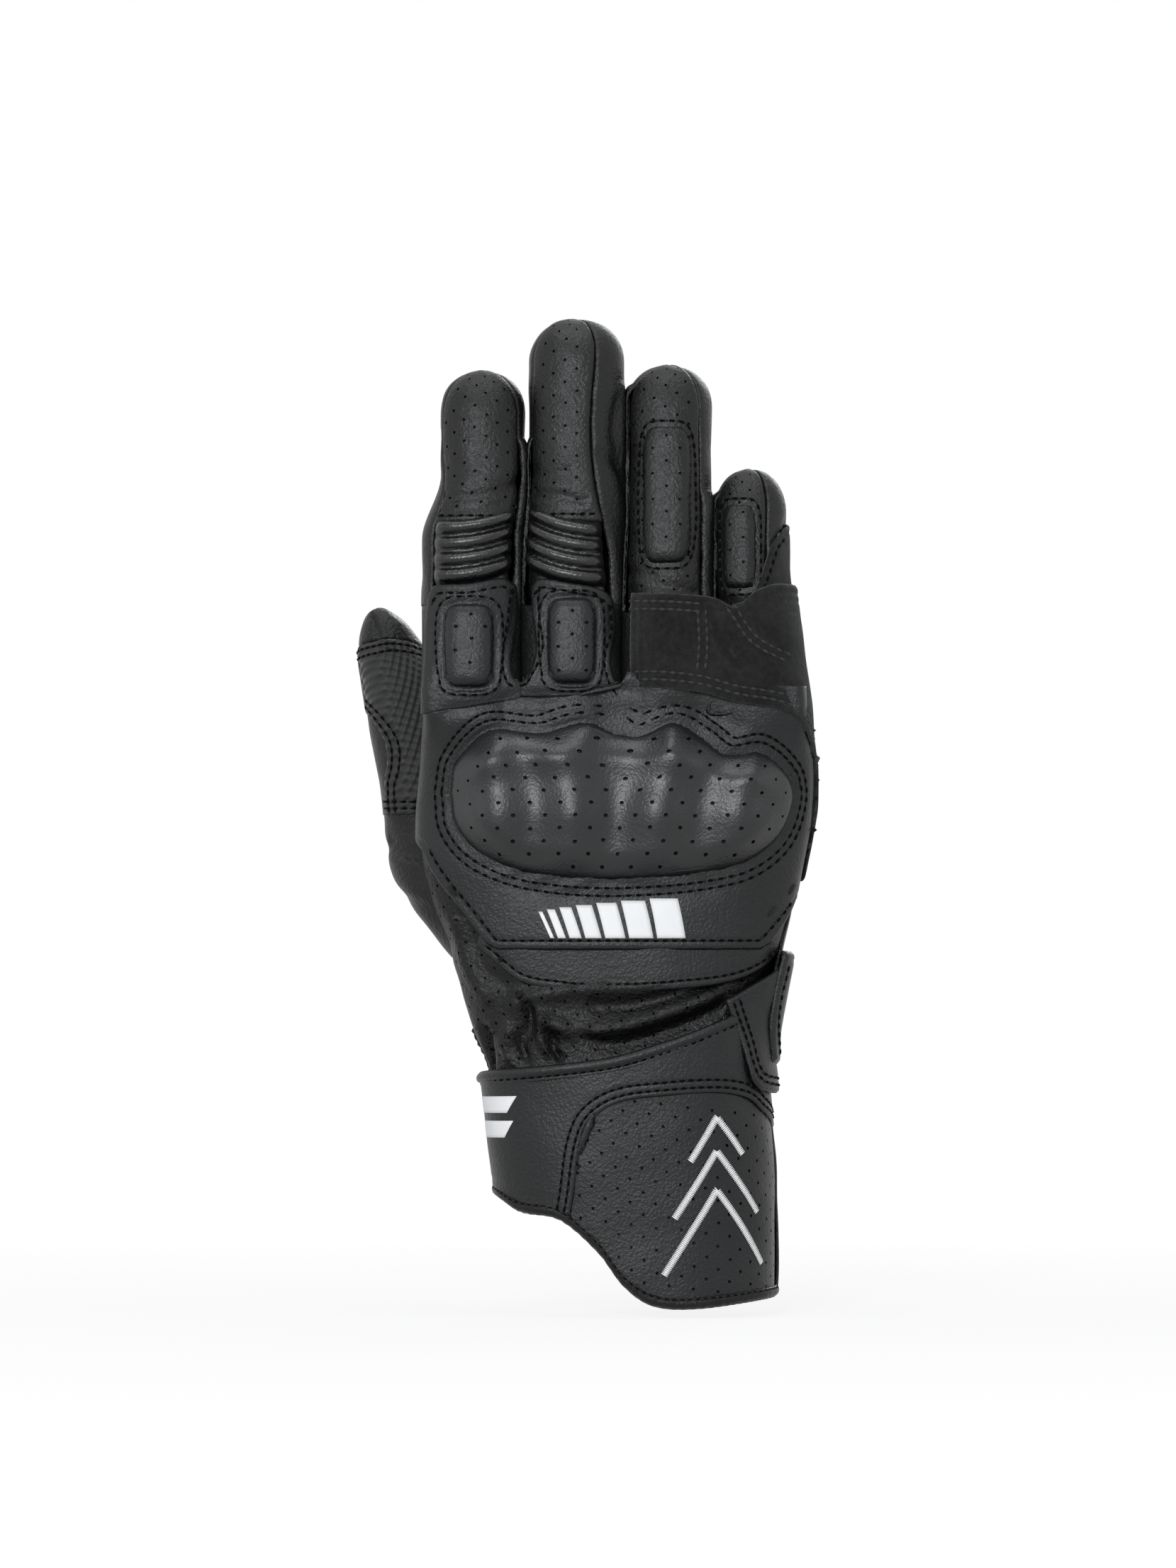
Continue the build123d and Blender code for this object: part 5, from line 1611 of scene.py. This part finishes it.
# %% Palm leather
lines = Folds(([(2 * R - 22, 170), (2 * R + 6, 163), (2 * R + 34, 166)], 2.4, -0.8),
              ([(2 * R + 38, 158), (2 * R + 22, 140), (2 * R + 20, 116)], 3.0, -0.8),
              ([(2 * R - 30, 152), (2 * R, 159), (2 * R + 26, 150)], 2.6, -0.5))
PALM_LOW, PALM_HIGH = 74.4, 176.8
palm_leather = leather(
    "palm_leather", HAND,
    **upright([(R - 3, PALM_LOW), (R - 4, 115), (R + 0.5, 126), (R + 1, 150), (R, PALM_HIGH)],
              [(3 * R - 15, PALM_LOW), (3 * R - 14, 104), (3 * R - 10, 122), (3 * R - 3, 133),
               (3 * R + 0.5, 140), (3 * R + 0.5, PALM_HIGH)]),
    finish=GRAINED, rolled="BRT", roll=1.2, sunk=(2.4,), slot="grained_leather", kinked="B",
    detail=lambda p, z, d: lines(p, z) + unrest(p, z, 24, 0.7, 11.0))
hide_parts("palm_panel", "hand_lining")
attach(palm_leather, "hand")
stitch("hand", "palm_leather", [(R + 4, 76.8), (3 * R - 18, 76.8)])
stitch("hand", "palm_leather", [(3 * R - 1.9, 139), (3 * R - 1.9, 174)])
low_right, low_left, top_left, top_right = palm(HAND, (14, 112), (-18, 112), (-38, 158), (24, 158))
patch = leather(
    "palm_patch_leather", HAND, **level([low_right, low_left], [top_right, top_left]),
    finish=SUEDE, lift=1.4, roll=1.1, depth=1.1, sunk=(2.4,), slot="suede", detail=uneven(22, 0.5, 12.0))
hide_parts("palm_patch")
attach(patch, "hand")
inset = [(low_right[0] + 2.4, 114.4), (low_left[0] - 2.4, 114.4),
         (top_left[0] - 2.4, 155.6), (top_right[0] + 2.4, 155.6)]
stitch("hand", "palm_patch_leather", inset + inset[:1], soft=False)

# %% [markdown]
# The slider is a moulded knob on a flange: an oval with a steep rounded edge and three shallow ribs across
# it, so that it skims over the road. It uses the same tool as the leather, with a deep roll at its border.

# %% Palm slider
SLIDER_Z, SLIDER_RIB = 114, 3.4         # height of its middle, and spacing of its ribs


def slider_detail(p, z, d):
    return -0.5 * ramp(3.4, 4.2, d) + 0.6 * ramp(4.0, 5.0, d) * sin(pi * (z - SLIDER_Z) / SLIDER_RIB) ** 2


slider = leather(
    "palm_slider_knob", HAND, shape=oval_panel(palm(HAND, (30, SLIDER_Z))[0], 8.6, 12.2, 3.2, 0.5),
    finish=SLIDER, lift=6.2, rolled="B", roll=3.2, depth=6.6, thick=1.2, detail=slider_detail)
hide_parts("palm_slider")
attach(slider, "hand")

# %% [markdown]
# ## Thumb
#
# The thumb stands beside the hand in four pieces: soft leather round its root, a panel of tough basket
# weave on the side that rubs on the grips, leather behind it with a strip that comes round to the front,
# and a leather cap with a seam over its middle. Two rows of stitches hold each edge of the weave.

# %% Thumb
T = THUMB.side
THUMB_LOW = 91
WEAVE_ROWS = (1.6, 3.6)
thumb_folds = Folds((THUMB.seen((-70, 133), (-62, 130), (-52, 132)), 2.0, -0.9),
                    (THUMB.seen((-70, 129), (-60, 124.5), (-50, 127)), 2.2, 0.8),
                    ([(-T - 4, 118), (-T + 8, 113), (-T + 22, 112)], 2.4, -0.8),
                    ([(-2 * T + 6, 132), (-2 * T + 30, 128)], 2.4, -0.8))
root = leather(
    "thumb_root_leather", THUMB, **block(-2 * T, 2 * T, THUMB_LOW, 149), finish=DARK, rolled="", fine=0.0,
    lift=-0.3, pitch=1.2,
    detail=lambda p, z, d: thumb_folds(p, z) + unrest(p, z, 15, 0.6, 2.0) - ramp(112, THUMB_LOW, z),
    slot="grained_leather")
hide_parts("thumb_root", "thumb_gussets")
bends(root, "hand", "thumb_base", 127, 141)

# %% [markdown]
# The weave and the leather behind it share their outline: `strip` is the left edge of the weave, and
# `cap_line` the lower edge of the cap. Two rows of stitches follow each edge of the weave.

# %% Weave, palm side and cap
THUMB_BEND = ("thumb_base", "thumb_tip", 164, 176)
strip = [*THUMB.seen((-69.7, 139.8), (-70.4, 148.5), (-69.7, 154), (-70.2, 160.5), (-73.6, 166.6)),
         (-T + 1, 170)]
cap_left, cap_line = (-T, 187.4), THUMB.seen((-74, 189.2), (-68.4, 190), (-60.5, 187.6))
weave = leather(
    "thumb_woven_leather", THUMB, bottom=[strip[0], (T + 4, 139.0)], left=strip + [cap_left],
    top=[cap_left, *cap_line, (T + 4, 184.5)], right=[(T + 4, 139), (T + 4, 184.5)],
    finish=WEAVE, lift=0.9, roll=0.9, depth=0.9, pitch=0.9, detail=uneven(14, 0.4, 8.0),
    sunk=WEAVE_ROWS, slot="woven_fabric")
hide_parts("thumb_woven_panel")
bends(weave, *THUMB_BEND)
around = THUMB.around
behind = leather(
    "thumb_palm_leather", THUMB, bottom=[(T + 2, 138.5), (strip[0][0] + 4 + around, 138.5)],
    right=[(p + 4 + around, z) for p, z in strip] + [(-T + around, 187)],
    top=[(T + 2, 186), (-T + around, 187)], left=[(T + 2, 138.5), (T + 2, 186)],
    finish=GRAINED, rolled="B", lift=0.2, detail=uneven(16, 0.5, 9.0), slot="grained_leather")
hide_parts("thumb_base_palm", "thumb_tip_palm")
bends(behind, *THUMB_BEND)
cap_seam = Folds((THUMB.seen((-71.8, 189), (-73.0, 195), (-73.6, 202)), 0.7, -0.9))
cap = leather(
    "thumb_cap_leather", THUMB,
    **level([(-2 * T, 183.5), (-T - 8, 186), cap_left, *cap_line, (T + 2, 185), (2 * T, 183.5)],
            [(-2 * T, 205), (2 * T, 205)]),
    finish=DARK, rolled="B", roll=1.0, depth=1.2, pitch=0.8, lift=0.75, slot="grained_leather",
    detail=lambda p, z, d: cap_seam(p, z) + unrest(p, z, 10, 0.3, 3.0))
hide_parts("thumb_tip_cap")
bends(cap, *THUMB_BEND)
edges = (([cap_left, *cap_line, (T + 2, 185)], 1), (strip, 1), ([strip[0], (T, 139.4)], -1))
for offset in WEAVE_ROWS:
    for line, way in edges:
        stitch("thumb_bend", "thumb_woven_leather", beside(line, way * offset)[1:-1], pitch=2.3)

# %% [markdown]
# ## Thread and what is left of the solids
#
# Every group of stitches becomes one mesh. A group that rides one body is attached to it, as its leather
# is; a group sewn over a joint stays where it was made, as its leather does. The solids that still show get
# finishes too.

# %% Thread objects
BENDING = {"index_knuckle": ("hand", "index_base", *KNUCKLE),
           "middle_knuckle": ("hand", "middle_base", *KNUCKLE),
           "outer_knuckles": ("hand", "ring_little_base", *KNUCKLE), "thumb_bend": THUMB_BEND,
           "wrist": WRIST_BEND, "anchor": ANCHOR_BEND}
for name in FINGERS:
    BENDING[f"{name}_bend"] = (FINGER_BASE[name], f"{name}_tip", *FINGER_BEND[name])
YARNS = {"white": EMBROIDERY, "slots": PUNCHED_SHADE, "outer_slots": PUNCHED_SHADE, "outer_knuckles": GREY_THREAD}
RIDING = {"white": "cuff", "slots": "hand", "outer_slots": "hand"}      # the other groups are named by body
for group, bm in threads.items():
    rows = to_object("stitches_" + group, bm, YARNS.get(group, THREAD_AND_GROOVE_SHADE), PUNCHED_SHADE)
    if group in BENDING:
        bends(rows, *BENDING[group])
    else:
        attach(rows, RIDING.get(group, group))
print("groups of thread:", len(threads))

# %% [markdown]
# The solids that no piece of this script stands in for get a finish too: the cuff's lining, the guard's
# foam, and the patches of hook and loop.

# %% Finishes of the remaining solids
SOLID_FINISH = {"cuff_lining": LINING, "guard_foam": FOAM,
                "cuff_loop_patch": HOOKS, "flap_hook_patch": HOOKS,
                "strap_loop_patch": HOOKS, "strap_hook_patch": HOOKS}
for name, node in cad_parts.items():
    node.data.materials.clear()
    node.data.materials.append(SOLID_FINISH.get(name, GRAINED))
print("solids with a finish:", len(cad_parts))

# %% [markdown]
# ## Floor, light and camera
#
# Black leather is drawn by reflections, not by its own colour. So the light is a soft key from the front,
# a little above and to the left, a lamp over the fingers, two weak ones that draw the sides and one
# behind for the palm. The air around is white to the camera and to mirrored rays but lights the leather
# only dimly; a plain white sky would wash it out. The floor is part white glow and part ordinary paint,
# which keeps the soft shadow under the cuff.


# %% White floor
def seen_white(tree):
    """One for the rays that show a background: straight from the camera, mirrored or through glass."""
    rays, shares = tree.nodes.new("ShaderNodeLightPath"), []
    for ray in ("Is Camera Ray", "Is Glossy Ray", "Is Transmission Ray"):
        shares.append(rays.outputs[ray])
    while len(shares) > 1:
        both = tree.nodes.new("ShaderNodeMath")
        both.operation = "MAXIMUM"
        tree.links.new(shares.pop(), both.inputs[0])
        tree.links.new(shares.pop(), both.inputs[1])
        shares.append(both.outputs[0])
    return shares[0]


FLOOR_WIDTH, FLOOR_HEIGHT = 8.0, -0.0022       # metres; just below the bound edge
SHADOW_NEAR, SHADOW_FAR = 0.08, 0.5             # distances between which the shadow's share fades out


def white_ground(name, glow, paint):
    """White where it is seen; near the object a share of it is ordinary paint, which takes the shadow."""
    f = bpy.data.materials.new(name)
    f.use_nodes = True
    nodes, links = f.node_tree.nodes, f.node_tree.links
    nodes.clear()
    out, mixer = nodes.new("ShaderNodeOutputMaterial"), nodes.new("ShaderNodeMixShader")
    matte, shine = nodes.new("ShaderNodeBsdfDiffuse"), nodes.new("ShaderNodeEmission")
    matte.inputs["Color"].default_value = (paint, paint, paint, 1)
    place, far = nodes.new("ShaderNodeTexCoord"), nodes.new("ShaderNodeVectorMath")
    far.operation = "LENGTH"
    fade, part = nodes.new("ShaderNodeMapRange"), nodes.new("ShaderNodeMath")
    for socket, value in (("From Min", SHADOW_NEAR), ("From Max", SHADOW_FAR),
                          ("To Min", glow), ("To Max", 1.0)):
        fade.inputs[socket].default_value = value
    part.operation = "MULTIPLY"
    links.new(place.outputs["Object"], far.inputs[0])
    links.new(far.outputs["Value"], fade.inputs["Value"])
    links.new(seen_white(f.node_tree), part.inputs[0])
    links.new(fade.outputs[0], part.inputs[1])
    links.new(part.outputs[0], mixer.inputs[0])
    links.new(matte.outputs[0], mixer.inputs[1])
    links.new(shine.outputs[0], mixer.inputs[2])
    links.new(mixer.outputs[0], out.inputs["Surface"])
    return f


bm = bmesh.new()
bmesh.ops.create_grid(bm, x_segments=1, y_segments=1, size=FLOOR_WIDTH / 2)
mesh = bpy.data.meshes.new("floor")
bm.to_mesh(mesh)
bm.free()
mesh.materials.append(white_ground("floor paint", 0.88, 0.9))
floor = bpy.data.objects.new("floor", mesh)
bpy.context.scene.collection.objects.link(floor)
floor.location = (0, 0, FLOOR_HEIGHT)
print("floor and its paint ready")

# %% [markdown]
# The air is one background colour; its strength is 1 for the rays that show it and low for all others.

# %% Air and lamps
AIR_LIGHT = 0.08                                # how strongly the white air lights the leather
LAMP_COLOUR, AIM = (0.95, 0.975, 1.0), (0, 0, 0.14)
scene = bpy.context.scene
scene.view_settings.view_transform = "Standard"
world = bpy.data.worlds.new("studio air")
world.use_nodes = True
scene.world = world
air = world.node_tree.nodes["Background"]
air.inputs["Color"].default_value = (1, 1, 1, 1)
bright = world.node_tree.nodes.new("ShaderNodeMapRange")
bright.inputs["To Min"].default_value, bright.inputs["To Max"].default_value = AIR_LIGHT, 1.0
world.node_tree.links.new(seen_white(world.node_tree), bright.inputs["Value"])
world.node_tree.links.new(bright.outputs[0], air.inputs["Strength"])
LAMPS = {                                       # place and size in metres, then watts
    "key": ((-0.4, -1.85, 0.88), 0.7, 29.0),
    "edge": ((1.3, -0.5, 0.5), 0.6, 1.2),
    "left edge": ((-1.3, -0.4, 0.4), 0.6, 1.2),
    "top": ((-0.1, -0.1, 1.5), 0.6, 5.0),
    "palm key": ((0.6, 1.8, 1.0), 0.75, 10.0),
}
for name, (place, size, watts) in LAMPS.items():
    lamp = bpy.data.lights.new(name, "AREA")
    lamp.energy, lamp.size, lamp.color = watts, size, LAMP_COLOUR
    holder = bpy.data.objects.new(name, lamp)
    scene.collection.objects.link(holder)
    holder.location = place
    holder.rotation_euler = (Vector(AIM) - Vector(place)).to_track_quat("-Z", "Y").to_euler()
print("lamps:", ", ".join(LAMPS))

# %% [markdown]
# A long lens from three metres keeps the upright lines of the fingers parallel.

# %% Camera
DISTANCE, SEEN_HEIGHT, SENSOR = 3.0, 0.4424, 36    # metres to the back of the hand, metres seen there, mm
view = bpy.data.cameras.new("camera")
view.lens, view.sensor_width, view.clip_end = SENSOR * DISTANCE / SEEN_HEIGHT, SENSOR, 20
camera = bpy.data.objects.new("camera", view)
scene.collection.objects.link(camera)
camera.location, camera.rotation_euler = (-0.0124, -0.02 - DISTANCE, 0.1484), (pi / 2, 0, 0)
scene.camera = camera
print("lens:", round(view.lens, 1), "mm")
